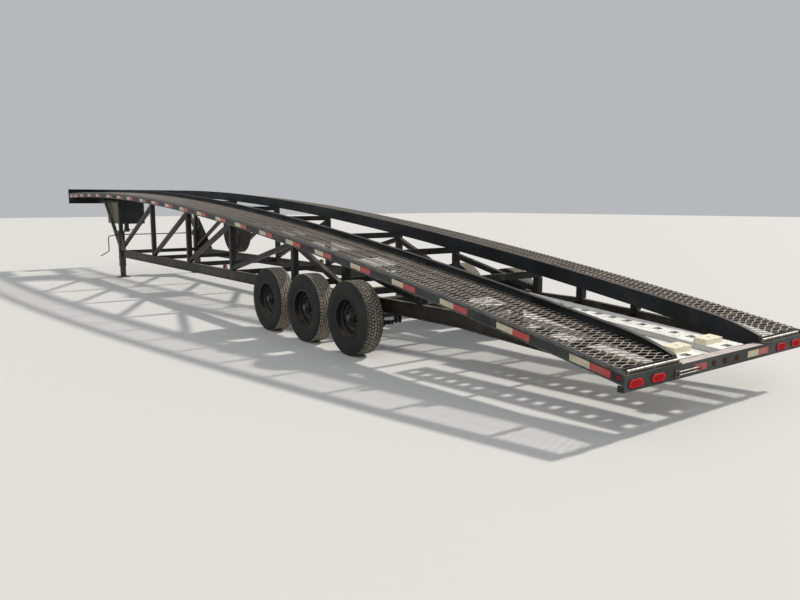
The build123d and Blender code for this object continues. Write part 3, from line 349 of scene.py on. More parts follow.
def rubber(name, dusty):
    """Dark rubber under patches of pale dust."""
    n = Nodes(name)
    fine = n.noise(70, 4)
    broad = n.noise(6, 4)
    color = n.mix(n.remap(fine, 0.3, 0.8), (0.016, 0.016, 0.017), (0.034, 0.033, 0.032))
    dust = n.times(n.remap(broad, 0.40, 0.75), dusty)
    color = n.mix(dust, color, (0.125, 0.108, 0.088))
    n.bump(fine, 0.2, 0.001)
    return n.finish(color, n.remap(fine, 0.3, 0.8, 0.62, 0.85), 0.0, 0.2)


def sunlit_dusty_tread(name, light=1.0):
    """The running surface of a tyre: pale dust, and painted sunlight that makes the ribs paler still; light
    scales it.
    """
    n = Nodes(name)
    fine = n.noise(60, 5)
    # Pale dust and painted sunlight on the ribs; the grooves keep plain rubber
    low = scaled((0.10, 0.088, 0.072), light)
    high = scaled((0.30, 0.265, 0.215), light)
    color = n.mix(n.remap(fine, 0.30, 0.62), low, high)
    n.bump(fine, 0.3, 0.001)
    return n.finish(color, 0.88)


def lens(name, color, painted_glow):
    """A moulded lens with a fine cell pattern and a little dust; its glow is painted light for sun through
    the lens, not a lit lamp.
    """
    n = Nodes(name)
    shade = n.remap(n.cells(210), 0.0, 0.55)
    tint = n.mix(shade, scaled(color, 1.35, 0.01), scaled(color, 0.62))
    dust = n.times(n.remap(n.noise(30, 5), 0.5, 0.75), 0.08)
    tint = n.mix(dust, tint, DUST)
    # Painted glow, standing in for sunlight through an unlit lens
    n.shader.inputs["Emission Color"].default_value = (*color, 1)
    n.shader.inputs["Emission Strength"].default_value = painted_glow
    return n.finish(tint, 0.5, 0.0, 0.12)


def reflective(name, color):
    """Reflective tape: a fine cell pattern under clear film, dirty in places."""
    n = Nodes(name)
    tint = n.mix(n.remap(n.cells(150), 0.1, 0.5), scaled(color, 1.12), scaled(color, 0.86))
    dirt = n.times(n.remap(n.noise(14, 6), 0.46, 0.72), 0.34)
    tint = n.mix(dirt, tint, (0.20, 0.165, 0.125))
    scratches = n.remap(n.noise(60, 5, (0.15, 1.0, 1.6)), 0.64, 0.74, 0.0, 0.35)
    tint = n.mix(scratches, tint, scaled(color, 0.5))
    n.shader.inputs["Coat Weight"].default_value = 0.35
    return n.finish(tint, n.remap(n.noise(20, 4), 0.3, 0.7, 0.32, 0.55))


def ramp_finish(name):
    """Pale alloy, weathered and scuffed by tyres, with painted shade on faces that don't face up."""
    n = Nodes(name)
    fine = n.noise(34, 6)
    color = n.mix(n.remap(fine, 0.35, 0.70), (0.84, 0.83, 0.79), (0.97, 0.96, 0.93))
    stain = n.times(n.remap(n.noise(5, 5), 0.48, 0.72), 0.45)
    color = n.mix(stain, color, (0.70, 0.64, 0.52))
    scuffs = n.times(n.remap(n.noise(18, 5, (0.35, 1.6, 1.0)), 0.62, 0.74), 0.30)
    color = n.mix(scuffs, color, (0.17, 0.16, 0.145))
    # Painted shade on faces that don't face up
    side = n.remap(n.upward(), 0.2, 0.8, 0.42, 0.0)
    color = n.mix(side, color, (0.30, 0.28, 0.25))
    n.bump(fine, 0.3, 0.001)
    return n.finish(color, n.remap(fine, 0.3, 0.7, 0.38, 0.62), 0.12)


def hook_paint(name):
    """Cream paint with chips, for the ramp hooks."""
    n = Nodes(name)
    fine = n.noise(40, 5)
    color = n.mix(n.remap(fine, 0.3, 0.7), (0.78, 0.70, 0.50), (0.90, 0.83, 0.64))
    chips = n.remap(n.noise(24, 5), 0.64, 0.72, 0.0, 0.6)
    color = n.mix(chips, color, (0.22, 0.15, 0.09))
    n.bump(fine, 0.25, 0.001)
    return n.finish(color, 0.6)


def dusty_sunlit_sheet(name):
    """The tool box's dark sheet steel, with dried mud on its top, and pale streaks down its left side that
    are mud and painted sunlight.
    """
    n = Nodes(name)
    fine = n.noise(46, 5)
    streak = n.noise(7.5, 6, (1.0, 1.0, 0.12))
    color = n.mix(n.remap(fine, 0.3, 0.7), (0.016, 0.017, 0.019), (0.040, 0.041, 0.043))
    outward = n.remap(n.facing(1), 0.4, 0.9)
    # Mud and painted sunlight streaked down the left side
    left_mud_and_sunlight = n.times(n.remap(streak, 0.36, 0.62, 0.35, 0.92), outward)
    top = n.remap(n.upward(), 0.5, 0.95, 0.0, 0.7)
    color = n.mix(n.calc("MAXIMUM", left_mud_and_sunlight, top), color, (0.255, 0.215, 0.155))
    n.bump(fine, 0.25, 0.001)
    return n.finish(color, n.remap(fine, 0.3, 0.7, 0.42, 0.65), 0.0, 0.2)


MATERIALS = {}


def make(kind, name, *values):
    MATERIALS[name] = kind(name, *values)


# Colour, then dust, rust, gloss and a tone of its own
make(painted_steel, "frame_steel", (0.011, 0.013, 0.0135))
make(painted_steel, "outer_rail", (0.026, 0.030, 0.031), 0.45, 0.10, 0.40, rail_edges_and_sky_sheen)
make(painted_steel, "inner_rail", (0.009, 0.011, 0.013), 0.25, 0.08, 0.40)
make(painted_steel, "lower_rail", (0.030, 0.029, 0.025), 0.85, 0.16, 0.46)
make(painted_steel, "bumper", (0.050, 0.056, 0.052), 0.45, 0.10, 0.50, step_wear_and_sunlit_top)
make(painted_steel, "jack_steel", (0.028, 0.030, 0.027), 0.50, 0.22, 0.45)
make(painted_steel, "rusty_plate", (0.075, 0.048, 0.036), 0.45, 0.55, 0.60, right_gusset_shade)
make(painted_steel, "running_gear", (0.024, 0.023, 0.022), 0.80, 0.35, 0.55)
make(painted_steel, "rim", (0.013, 0.014, 0.016), 0.35, 0.10, 0.40)
make(painted_steel, "bracket", (0.22, 0.22, 0.20), 0.55, 0.15)
make(painted_steel, "weld", (0.034, 0.036, 0.036), 0.50, 0.25, 0.55)

# Light and dark colour, then metallic, roughness and a tone of its own
make(worn_metal, "hub", (0.28, 0.27, 0.25), (0.12, 0.11, 0.10), 0.6, 0.4)
make(worn_metal, "tread_steel", (0.50, 0.45, 0.39), (0.25, 0.21, 0.17), 0.30, 0.46, runway_rear_highlight)
make(worn_metal, "bright_steel", (0.60, 0.56, 0.50), (0.34, 0.30, 0.26), 0.4, 0.40)

make(dusty_sunlit_sheet, "box_sheet")
make(ramp_finish, "ramp")
make(hook_paint, "hook")
make(rubber, "tyre", 0.12)
make(rubber, "spare_tyre", 0.55)
make(rubber, "groove", 0.25)
make(rubber, "black_rubber", 0.15)
make(sunlit_dusty_tread, "tyre_tread")
make(sunlit_dusty_tread, "spare_tread", 0.25)

make(lens, "red_lens", (0.62, 0.003, 0.010), 0.30)
make(lens, "lens_rib", (0.17, 0.002, 0.006), 0.0)
make(lens, "dark_lens", (0.16, 0.010, 0.014), 0.0)
make(lens, "side_lens", (0.30, 0.012, 0.010), 0.0)
make(lens, "chord_lens", (0.22, 0.030, 0.014), 0.0)
make(lens, "amber_lens", (0.55, 0.19, 0.015), 0.04)
make(reflective, "red_tape", (0.46, 0.030, 0.022))
make(reflective, "white_tape", (0.58, 0.52, 0.36))

NODES_BY_MATERIAL = {
    "outer_rail": ["outer_rails"],
    "inner_rail": ["inner_rails"],
    "lower_rail": ["lower_rails"],
    "bumper": ["rear_beam"],
    "jack_steel": ["jack_tubes", "jack_legs", "jack_gearboxes", "jack_cross_shaft", "crank_handle",
                   "coupler_socket"],
    "rusty_plate": ["jack_gussets"],
    "running_gear": ["leaf_springs", "spring_seats", "spring_hangers", "spring_equalizers", "axles"],
    "box_sheet": ["tool_box", "tool_box_door"],
    "bright_steel": ["ramp_bars", "ramp_latch"],
    "ramp": ["ramps"],
    "hook": ["ramp_hooks"],
    "rim": ["spare_rim"],
    "spare_tyre": ["spare_tyre"],
    "red_lens": ["tail_lamps", "id_lamps"],
    "side_lens": ["chord_markers"],
}


def material_name(node):
    """The material a node takes; one that isn't listed takes the frame's."""
    if node.startswith("wheel_"):
        return "rim"
    if node.startswith("tyre_"):
        return "tyre"
    for material, names in NODES_BY_MATERIAL.items():
        if node in names:
            return material
    return "frame_steel"


def dress_nodes():
    for name, obj in nodes.items():
        material = MATERIALS[material_name(name)]
        slots = obj.data.materials
        if slots:
            for i in range(len(slots)):
                slots[i] = material
        else:
            slots.append(material)


add_camera()
add_floor()
add_sky()
add_sun("key", 3.1, 3, (0.10, 1.0, -0.78), (1.0, 0.95, 0.88))
add_sun("fill", 0.45, 40, (0.6, -0.8, -0.7))
dress_nodes()


# Mesh building

# The six faces of a block whose corners are listed x by y by z
BOX_QUADS = [(0, 1, 3, 2), (4, 6, 7, 5), (0, 4, 5, 1), (2, 3, 7, 6), (0, 2, 6, 4), (1, 5, 7, 3)]
SPLIT_ANGLE = 35


def around(middle, half):
    """The two ends, half to each side of middle."""
    return (middle - half, middle + half)


def full_turn(count):
    """Equal angles round a full turn."""
    return [2 * math.pi * i / count for i in range(count)]


def circle(centre, axis, radius, sides):
    """Points round centre, in the plane across axis."""
    side = axis.orthogonal().normalized()
    other = axis.cross(side)
    return [centre + (side * math.cos(t) + other * math.sin(t)) * radius for t in full_turn(sides)]


class Piece:
    """Gathers vertices and faces in millimetres, then makes one object that rides on a body."""

    def __init__(self, name, materials, body="frame", smooth=True):
        self.name, self.materials, self.body, self.smooth = name, materials, body, smooth
        self.verts, self.faces, self.slots = [], [], []

    def add(self, verts, faces, slot=0):
        start = len(self.verts)
        self.verts.extend(tuple(v) for v in verts)
        self.faces.extend(tuple(start + i for i in face) for face in faces)
        self.slots.extend([slot] * len(faces))

    def box(self, x, y, z, slot=0):
        """A block from its two ends along x, y and z."""
        corners = [(a, b, c) for a in sorted(x) for b in sorted(y) for c in sorted(z)]
        self.add(corners, BOX_QUADS, slot)

    def rings(self, rings, cap=True, slot=0):
        """A skin over closed rings of equal length."""
        count = len(rings[0])
        faces = []
        for i in range(len(rings) - 1):
            a, b = i * count, (i + 1) * count
            for j in range(count):
                k = (j + 1) % count
                faces.append((a + j, a + k, b + k, b + j))
        if cap:
            faces.append(tuple(reversed(range(count))))
            last = (len(rings) - 1) * count
            faces.append(tuple(last + j for j in range(count)))
        self.add([v for ring in rings for v in ring], faces, slot)

    def rod(self, start, end, radius, sides=12, slot=0, radius_end=None):
        """A round bar, tapered where radius_end is given."""
        start, end = Vector(start), Vector(end)
        axis = (end - start).normalized()
        radius_end = radius if radius_end is None else radius_end
        self.rings([circle(start, axis, radius, sides), circle(end, axis, radius_end, sides)], slot=slot)

    def build(self, slot_name, replaces=()):
        mesh = bpy.data.meshes.new(self.name)
        mesh.from_pydata([metres(v) for v in self.verts], [], self.faces)
        for material in self.materials:
            mesh.materials.append(MATERIALS[material])
        for polygon, slot in zip(mesh.polygons, self.slots):
            polygon.material_index = slot
            polygon.use_smooth = self.smooth
        mesh.validate()
        mesh.update()
        obj = bpy.data.objects.new(self.name, mesh)
        scene.collection.objects.link(obj)
        if self.smooth:
            modifier = obj.modifiers.new("split", "EDGE_SPLIT")
            modifier.split_angle = math.radians(SPLIT_ANGLE)
        if replaces:
            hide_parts(*replaces)
        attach(obj, self.body)


def hex_nut(piece, centre, axis, radius, height, slot=0):
    """A six-sided nut with a chamfered top, standing on centre along axis."""
    axis = Vector(axis).normalized()
    centre = Vector(centre)
    shoulder = centre + axis * height * 0.85
    piece.rod(centre, shoulder, radius, 6, slot)
    piece.rod(shoulder, centre + axis * height, radius, 6, slot, radius * 0.82)


def dome(piece, centre, axis, radius, height, steps=5, sides=20, slot=0):
    """A shallow dome on centre along axis."""
    axis = Vector(axis).normalized()
    rings = []
    for i in range(steps + 1):
        rise = math.pi / 2 * i / steps
        middle = Vector(centre) + axis * (math.sin(rise) * height)
        rings.append(circle(middle, axis, max(0.6, radius * math.cos(rise)), sides))
    piece.rings(rings, slot=slot)


# Expanded metal runways

MESH_PITCH_X = 57.0
MESH_PITCH_Y = 162.0
STRAND = 7.0
STRAND_LEAN = 1.6
STRAND_THICK = 4.6
BOND = 11.0


def strand_path(column, phase):
    """One zigzag strand across the runway, as (x, y, raised) points."""
    lean = STRAND / 2 if phase == 0 else -STRAND / 2
    edge = TREAD_START + (column + phase) * MESH_PITCH_X + lean
    middle = TREAD_START + (column + 0.5) * MESH_PITCH_X + lean
    step = MESH_PITCH_Y / 2
    first = TREAD_Y[0] - step * 0.5
    points = []
    i = 0
    while True:
        y = first + i * step
        x, raised = (edge, 1 - phase) if i % 2 == 0 else (middle, phase)
        points += [(x, y - BOND, raised), (x, y + BOND, raised)]
        if y - BOND > TREAD_Y[1]:
            break
        i += 1
    return clip_path(points)


def clip_path(points):
    """Cuts a path at the runway's edges."""
    out = []
    for a, b in zip(points, points[1:]):
        if b[1] < TREAD_Y[0] or a[1] > TREAD_Y[1]:
            continue
        ends = []
        for target, other in ((a, b), (b, a)):
            edge = min(max(target[1], TREAD_Y[0]), TREAD_Y[1])
            t = (edge - target[1]) / (other[1] - target[1])
            ends.append(tuple(target[k] + (other[k] - target[k]) * t for k in range(3)))
        if not out:
            out.append(ends[0])
        out.append(ends[1])
    return out


def build_runway(name, side):
    """One runway of raised and leaning strands that follow the arch."""
    piece = Piece(f"expanded_metal_{name}", ["tread_steel"], smooth=False)
    for column in range(int((TREAD_END - TREAD_START) / MESH_PITCH_X)):
        for phase in (0, 1):
            rings = []
            for x, y, raised in strand_path(column, phase):
                back, front = x - STRAND / 2, x + STRAND / 2
                top = arch_z(x) - STRAND_LEAN * (1 - raised)
                low = top - STRAND_THICK
                section = [(back, top - STRAND_LEAN), (front, top), (front, low), (back, low - STRAND_LEAN)]
                rings.append([(at, side * y, z) for at, z in section])
            piece.rings(rings if side > 0 else rings[::-1])
    piece.build("tread_steel", ["runway_tread"])


# Reflective tape

# Forward end of each strip of tape, put on by hand at uneven spacing and measured on the photograph
TAPE_ENDS = [
    475, 1220, 1925, 2640, 3365, 4100, 4785, 5505, 6245, 6915, 7630, 8370,
    9055, 9760, 10425, 11220, 11895, 12655, 13525, 14250, 14940, 15535, 15980,
]
TAPE_HALF = 178
TAPE_DROP = (43, 93)
TAPE_PROUD = 0.5
ARCH_STEPS = 3


def arch_patch(piece, x, y, drop, slot):
    """A thin plate on a rail's side that follows the arch."""
    rings = []
    for i in range(ARCH_STEPS + 1):
        at = x[0] + (x[1] - x[0]) * i / ARCH_STEPS
        high, low = arch_z(at, drop[0]), arch_z(at, drop[1])
        rings.append([(at, y[0], low), (at, y[1], low), (at, y[1], high), (at, y[0], high)])
    piece.rings(rings, slot=slot)


def build_side_tape(name, side):
    """Strips along one outer rail, white in their forward half and red behind."""
    piece = Piece(f"side_tape_{name}", ["red_tape", "white_tape"], smooth=False)
    y = (side * (RAIL_FACE - 1), side * (RAIL_FACE + TAPE_PROUD))
    for end in TAPE_ENDS:
        middle = end - TAPE_HALF
        arch_patch(piece, (middle, end), y, TAPE_DROP, 1)
        arch_patch(piece, (middle - TAPE_HALF, middle), y, TAPE_DROP, 0)
    piece.build("red_lens")


# Tyres

# Half of a tyre's section from the bead to the shoulder, as (radius, y)
SIDEWALL = [
    (207, 92), (214, 99), (222, 101), (230, 103), (236, 108), (242, 108), (250, 107), (270, 112.5),
    (290, 116.3), (306, 117.2), (329, 116.6), (351, 113.5), (359, 113.6), (363, 112.2), (375, 109.5),
    (384, 106), (391, 102), (396, 98),
]
CROWN_SAG = 3.0
GROOVE_DEPTH = 9.0
GROOVE_SLOPE = 1.2
# Tread faces that reach further than this below the crown's top take the grooves' rubber
GROOVE_SHADE = 8
SHOULDER_NOTCH = 73.0
NOTCH_DEPTH = 8.0
BLOCK_DEPTH = 7.5
RIBS = [(-94, -57), (-49.5, -21.5), (-14, 14), (21.5, 49.5), (57, 94)]
TREAD_PITCHES = 66
# Stations round one pitch of the tread, as (fraction of the pitch, whether it is cut)
NOTCH_RINGS = [(0.0, 0), (0.02, 1), (0.22, 1), (0.24, 0)]
BLOCK_RINGS = [(0.0, 0), (0.03, 1), (0.30, 1), (0.33, 0)]


def on_crown(y, depth):
    """The tread's section at y, depth below its running surface, as (radius, y)."""
    return (WHEEL_Z - CROWN_SAG * (y / 100) ** 2 - depth, y)


def in_groove(y, way):
    """The foot of a groove's wall, a little outside the rib's edge at y."""
    return (on_crown(y, GROOVE_DEPTH)[0], y + way * GROOVE_SLOPE)


def tread_section(cut, blocks, shift):
    """The tread's section at one station, from the inner shoulder to the outer one.

    Both shoulders are notched where cut is set. With blocks, every second rib is cut across
    too, and shift says which ones.
    """
    notch = NOTCH_DEPTH if cut else 0.0
    points = []
    for index, (first, last) in enumerate(RIBS):
        drop = BLOCK_DEPTH if cut and blocks and index % 2 == shift else 0.0
        if index == 0:
            edge = -SHOULDER_NOTCH
            points += [on_crown(first, notch), on_crown(edge, notch)]
            points += [on_crown(edge, drop), on_crown(last, drop), in_groove(last, 1)]
        elif index == len(RIBS) - 1:
            edge = SHOULDER_NOTCH
            points += [in_groove(first, -1), on_crown(first, drop), on_crown(edge, drop)]
            points += [on_crown(edge, notch), on_crown(last, notch)]
        else:
            points += [in_groove(first, -1), on_crown(first, drop)]
            points += [on_crown(last, drop), in_groove(last, 1)]
    return points


def tread_stations(blocks):
    """Each station round the tyre, as (pitches from the start, cut, shift)."""
    stations = []
    for pitch in range(TREAD_PITCHES):
        if blocks:
            for shift in (0, 1):
                stations += [(pitch + 0.5 * shift + at, cut, shift) for at, cut in BLOCK_RINGS]
        else:
            stations += [(pitch + at, cut, 0) for at, cut in NOTCH_RINGS]
    return stations


def build_tyre(name, centre, outward, blocks, body, materials):
    """A tyre with ribs, grooves and shoulder notches; outward is the sign of its outer side."""
    piece = Piece(f"tyre_tread_{name}", materials, body)
    inner = [(r, -y) for r, y in SIDEWALL]
    outer = list(reversed(SIDEWALL))
    stations = tread_stations(blocks)
    radii = []
    for at, cut, shift in stations:
        section = inner + tread_section(cut, blocks, shift) + outer
        turn = 2 * math.pi * at / TREAD_PITCHES
        cos, sin = math.cos(turn), math.sin(turn)
        for r, y in section:
            radii.append(r)
            piece.verts.append((centre[0] + r * cos, centre[1] + outward * y, centre[2] + r * sin))
    count = len(radii) // len(stations)
    wall = len(SIDEWALL)
    for i in range(len(stations)):
        a = i * count
        b = (i + 1) % len(stations) * count
        for j in range(count):
            k = (j + 1) % count
            face = (a + j, a + k, b + k, b + j)
            piece.faces.append(face if outward < 0 else face[::-1])
            if not wall - 1 <= j < count - wall:
                slot = 0
            elif min(radii[a + j], radii[a + k]) < WHEEL_Z - GROOVE_SHADE:
                slot = 2
            else:
                slot = 1
            piece.slots.append(slot)
    return piece


def build_tyres():
    """Six road tyres and the spare. The rear left one is cut into blocks, the others are ribbed."""
    for word, x in WHEEL_X.items():
        for name, side in SIDES:
            blocks = (word, name) == ("rear", "left")
            centre = (x, side * WHEEL_Y, WHEEL_Z)
            looks = ["tyre", "tyre_tread", "groove"]
            piece = build_tyre(f"{word}_{name}", centre, side, blocks, f"{word}_{name}_wheel", looks)
            piece.build("tyre", [f"tyre_{word}_{name}"])
    looks = ["spare_tyre", "spare_tread", "groove"]
    build_tyre("spare", SPARE, 1, False, "frame", looks).build("tyre", ["spare_tyre"])


# Wheel fittings

LUGS = 8
LUG_CIRCLE = 82.5
# Out from the wheel's middle plane: where the nuts stand, the studs end, and the hub steps in
LUG_FACE = 5.5
STUD_END = 34
HUB_STEPS = (46, 58, 84)
VALVE_TURN = 0.4


def build_wheel_fittings(word, x, name, side):
    """One wheel's nuts on their studs, its hub with a domed cap, and its valve."""
    wheel = f"{word}_{name}"
    piece = Piece(f"wheel_fittings_{wheel}", ["hub", "black_rubber"], f"{wheel}_wheel")

    def at(radius, turn, y):
        """A point on the wheel, y out from its middle plane."""
        return (x + radius * math.cos(turn), side * (WHEEL_Y + y), WHEEL_Z + radius * math.sin(turn))

    out = (0, side, 0)
    for turn in full_turn(LUGS):
        hex_nut(piece, at(LUG_CIRCLE, turn, LUG_FACE), out, 13, 20)
        piece.rod(at(LUG_CIRCLE, turn, 20), at(LUG_CIRCLE, turn, STUD_END), 7, 10)
    foot, step, end = HUB_STEPS
    piece.rod(at(0, 0, foot), at(0, 0, step), 47, 28)
    piece.rod(at(0, 0, step), at(0, 0, end), 43, 28, 0, 39)
    dome(piece, at(0, 0, end - 1), out, 36, 9)
    piece.rod(at(160, VALVE_TURN, 26), at(172, VALVE_TURN, 62), 4, 8, 1)
    piece.rod(at(172, VALVE_TURN, 60), at(173.5, VALVE_TURN, 68), 5.2, 8, 1)
    piece.build("bright_steel")


# Rear lamps, tape and latch

TAIL_LAMPS = [1160, 897, -897, -1160]
TAIL_LAMP_HALF = (81, 32)
ID_LAMPS = [163, 0, -178]
ID_LENS_RADIUS = 18.5
GROMMET_X = (5, 12.5)
# Steps of a tail lamp's lens from its edge to its middle, as (inset, x)
LENS_STEPS = [(3, 13), (3, 6.5), (5, 4.0), (10, 2.9), (17, 2.4)]
LENS_RIBS = 8
LENS_RIB_PITCH = 7.4
# Strips of tape on the bumper, as (left end, right end, slot)
REAR_TAPES = [(427, 268, 0), (-346, -517, 1), (-517, -680, 0)]
REAR_TAPE_HALF = 26
LATCH_Z = 392
LATCH_PLATE_Y = (640, 689)


def slot_outline(centre, half_y, half_z, x, sides=10):
    """A round-ended outline across the bumper's face."""
    straight = half_y - half_z
    points = []
    for end in (1, -1):
        for i in range(sides + 1):
            turn = math.pi * i / sides - math.pi / 2
            y = centre + end * (straight + half_z * math.cos(turn))
            points.append((x, y, LAMP_Z + end * half_z * math.sin(turn)))
    return points


def lamp_ring(piece, centre, half_y, half_z):
    """A rounded grommet round a lamp, from its outer edge to the lens."""
    front, back = GROMMET_X
    profile = [(0, back), (0, front + 2), (1.5, front), (5, front), (7, front + 2.5), (7, back)]
    rings = [slot_outline(centre, half_y - inset, half_z - inset, x) for inset, x in profile]
    piece.rings(rings, cap=False, slot=1)


def add_tail_lamp(piece, centre):
    """One long lens in its grommet, with darker ribs and a socket behind it."""
    half_y, half_z = TAIL_LAMP_HALF
    lamp_ring(piece, centre, half_y + 4, half_z + 4)
    piece.rings([slot_outline(centre, half_y - inset, half_z - inset, x) for inset, x in LENS_STEPS])
    for k in range(-LENS_RIBS, LENS_RIBS + 1):
        y = centre + k * LENS_RIB_PITCH
        reach = half_z - 10 - max(0, abs(k) - 5) * 4.5
        piece.rod((3.3, y, LAMP_Z - reach), (3.3, y, LAMP_Z + reach), 1.9, 6, 2)
    for z in around(LAMP_Z, 9):
        piece.rod((3.2, centre - half_y + 16, z), (3.2, centre + half_y - 16, z), 1.1, 6, 2)
    piece.rod((13, centre, LAMP_Z), (44, centre, LAMP_Z), 24, 16, 1)


def add_id_lamp(piece, centre):
    """One small round lens in its grommet, with two moulded circles and a socket."""
    lamp_ring(piece, centre, 25, 25)
    piece.rod((13, centre, LAMP_Z), (8, centre, LAMP_Z), ID_LENS_RADIUS, 20)
    dome(piece, (8, centre, LAMP_Z), (-1, 0, 0), ID_LENS_RADIUS, 4.0)
    for r in (7, 12):
        x = 5.0 + r * 0.07
        ring = [(x, centre + r * math.cos(t), LAMP_Z + r * math.sin(t)) for t in full_turn(20)]
        for a, b in zip(ring, ring[1:] + ring[:1]):
            piece.rod(a, b, 0.7, 4)
    piece.rod((13, centre, LAMP_Z), (40, centre, LAMP_Z), 15, 14, 1)


def build_rear_lamps():
    tail = Piece("tail_lamp_lenses", ["red_lens", "black_rubber", "lens_rib"])
    for centre in TAIL_LAMPS:
        add_tail_lamp(tail, centre)
    tail.build("red_lens", ["tail_lamps"])
    small = Piece("id_lamp_lenses", ["dark_lens", "black_rubber"])
    for centre in ID_LAMPS:
        add_id_lamp(small, centre)
    small.build("red_lens", ["id_lamps"])


def build_rear_tape():
    piece = Piece("rear_tape", ["red_tape", "white_tape"], smooth=False)
    x = (BUMPER_FACE - TAPE_PROUD, BUMPER_FACE + 1)
    z = around(LAMP_Z, REAR_TAPE_HALF)
    for left, right, slot in REAR_TAPES:
        piece.box(x, (right, left), z, slot)
    piece.build("red_lens")


def build_latch():
    """A dark latch plate with bright edges and pin, and two bright draw rods to a foot."""
    piece = Piece("latch_fittings", ["jack_steel", "bright_steel"])
    z = LATCH_Z
    right, left = LATCH_PLATE_Y
    piece.box((5, 12.5), (right, left), around(z, 32))
    piece.box((3.6, 5.2), (right, right + 4), around(z, 32), 1)
    piece.box((3.6, 5.2), (left - 5, left), (z - 30, z + 32), 1)
    piece.box((0.5, 8), (656, 673), around(z, 15))
    piece.rod((3, 664, z - 26), (3, 664, z + 30), 2.6, 10, 1)
    for at in around(z, 12):
        piece.rod((6, 371, at), (6, 642, at), 4.6, 12, 1)
        hex_nut(piece, (6, 634, at), (0, -1, 0), 5.8, 9, 1)
    piece.box((2.5, 12.5), (356, 374), around(z, 20))
    for y in (right + 8, left - 8):
        for at in around(z, 24):
            dome(piece, (5, y, at), (-1, 0, 0), 4.5, 3, 3, 10, 1)
    piece.build("bright_steel", ["ramp_latch"])


# Stowed ramps, with their cut-outs and grip bars

RAMP_REAR_X = 104
RAMP_REAR_Z = 461
RAMP_RISE = 0.08
RAMP_LENGTH = 2390
RAMP_HALF = 180
RAMP_CENTRES = {"left": 330, "right": -272}
RAMP_DEPTH = 50
RAMP_SHEET = 6
RAMP_FOOT = 26
CUTOUT_START = 16
CUTOUT_PITCH = 160
CUTOUTS = 15
CUTOUT_LONG = 62
CUTOUT_HALF = 52
LIP = 5
LIP_DEPTH = 12
GRIP_STEPS = (0, 25, 50)
GRIP_WIDTH = 7
GRIP_UP = (-1, 2.2)


def on_ramp(along, y, up):
    """A point from its place along, across and above a ramp's top face."""
    slope = math.atan(RAMP_RISE)
    x = RAMP_REAR_X + along * math.cos(slope) - up * math.sin(slope)
    return (x, y, RAMP_REAR_Z + along * math.sin(slope) + up * math.cos(slope))


def ramp_block(piece, along, y, up):
    piece.add([on_ramp(a, b, c) for a in along for b in y for c in up], BOX_QUADS)


def add_ramp_sheet(piece, y, cut):
    """The ramp's top sheet round its row of cut-outs, with a folded lip at both ends of each."""
    sheet = (-RAMP_SHEET, 0)
    ramp_block(piece, (0, RAMP_LENGTH), (y[0], cut[0]), sheet)
    ramp_block(piece, (0, RAMP_LENGTH), (cut[1], y[1]), sheet)
    edge = 0
    for i in range(CUTOUTS):
        start = CUTOUT_START + i * CUTOUT_PITCH
        ramp_block(piece, (edge, start), cut, sheet)
        edge = start + CUTOUT_LONG
        for first in (start - LIP, edge):
            ramp_block(piece, (first, first + LIP), cut, (-RAMP_SHEET - LIP_DEPTH, -RAMP_SHEET + 1))
    ramp_block(piece, (edge, RAMP_LENGTH), cut, sheet)


def add_ramp_side(piece, outer, inward):
    """The web and foot along one edge; inward is the sign from that edge to the middle."""
    web = sorted((outer, outer + inward * RAMP_SHEET))
    foot = sorted((outer, outer + inward * RAMP_FOOT))
    ramp_block(piece, (0, RAMP_LENGTH), web, (-RAMP_DEPTH, -RAMP_SHEET + 1))
    ramp_block(piece, (0, RAMP_LENGTH), foot, (-RAMP_DEPTH, -RAMP_DEPTH + 5))


def add_grip_bars(piece, y, cut):
    """Three low bars beside each stretch between two cut-outs, on both sides of the row."""
    for i in range(CUTOUTS - 1):
        along = CUTOUT_START + CUTOUT_LONG + 24 + i * CUTOUT_PITCH
        for step in GRIP_STEPS:
            bar = (along + step, along + step + GRIP_WIDTH)
            for half in ((y[0] + 20, cut[0] - 16), (cut[1] + 16, y[1] - 20)):
                ramp_block(piece, bar, half, GRIP_UP)


def build_ramps():
    for name, centre in RAMP_CENTRES.items():
        piece = Piece(f"ramp_plate_{name}", ["ramp"], smooth=False)
        y = around(centre, RAMP_HALF)
        cut = around(centre, CUTOUT_HALF)
        add_ramp_sheet(piece, y, cut)
        add_ramp_side(piece, y[0], 1)
        add_ramp_side(piece, y[1], -1)
        add_grip_bars(piece, y, cut)
        piece.build("ramp_paint", ["ramps"])


# Running gear fittings

SPRING_EYE_Z = 388
SPRING_HALF_SPAN = 340
SPRING_SAG = 40
PACK_BOTTOM = 303
CLAMP_PLATE = (62, 40, 12)
U_BOLT_REACH = 45
U_BOLT_Y = 29
U_BOLT_ROD = 6.5
U_BOLT_TAIL = 34
ARC_STEPS = 10
HANGER_X = [3145, 3957.5, 4902.5, 5715]
HANGER_SIDE = 38
EYE_SIDE = 22
CLIP_REACH = (150, 215)
CLIP_HALF = 14
CLIP_DROP = 34
BRAKE_Y = 1054
BRAKE_NUTS = 5
BRAKE_NUT_CIRCLE = 62


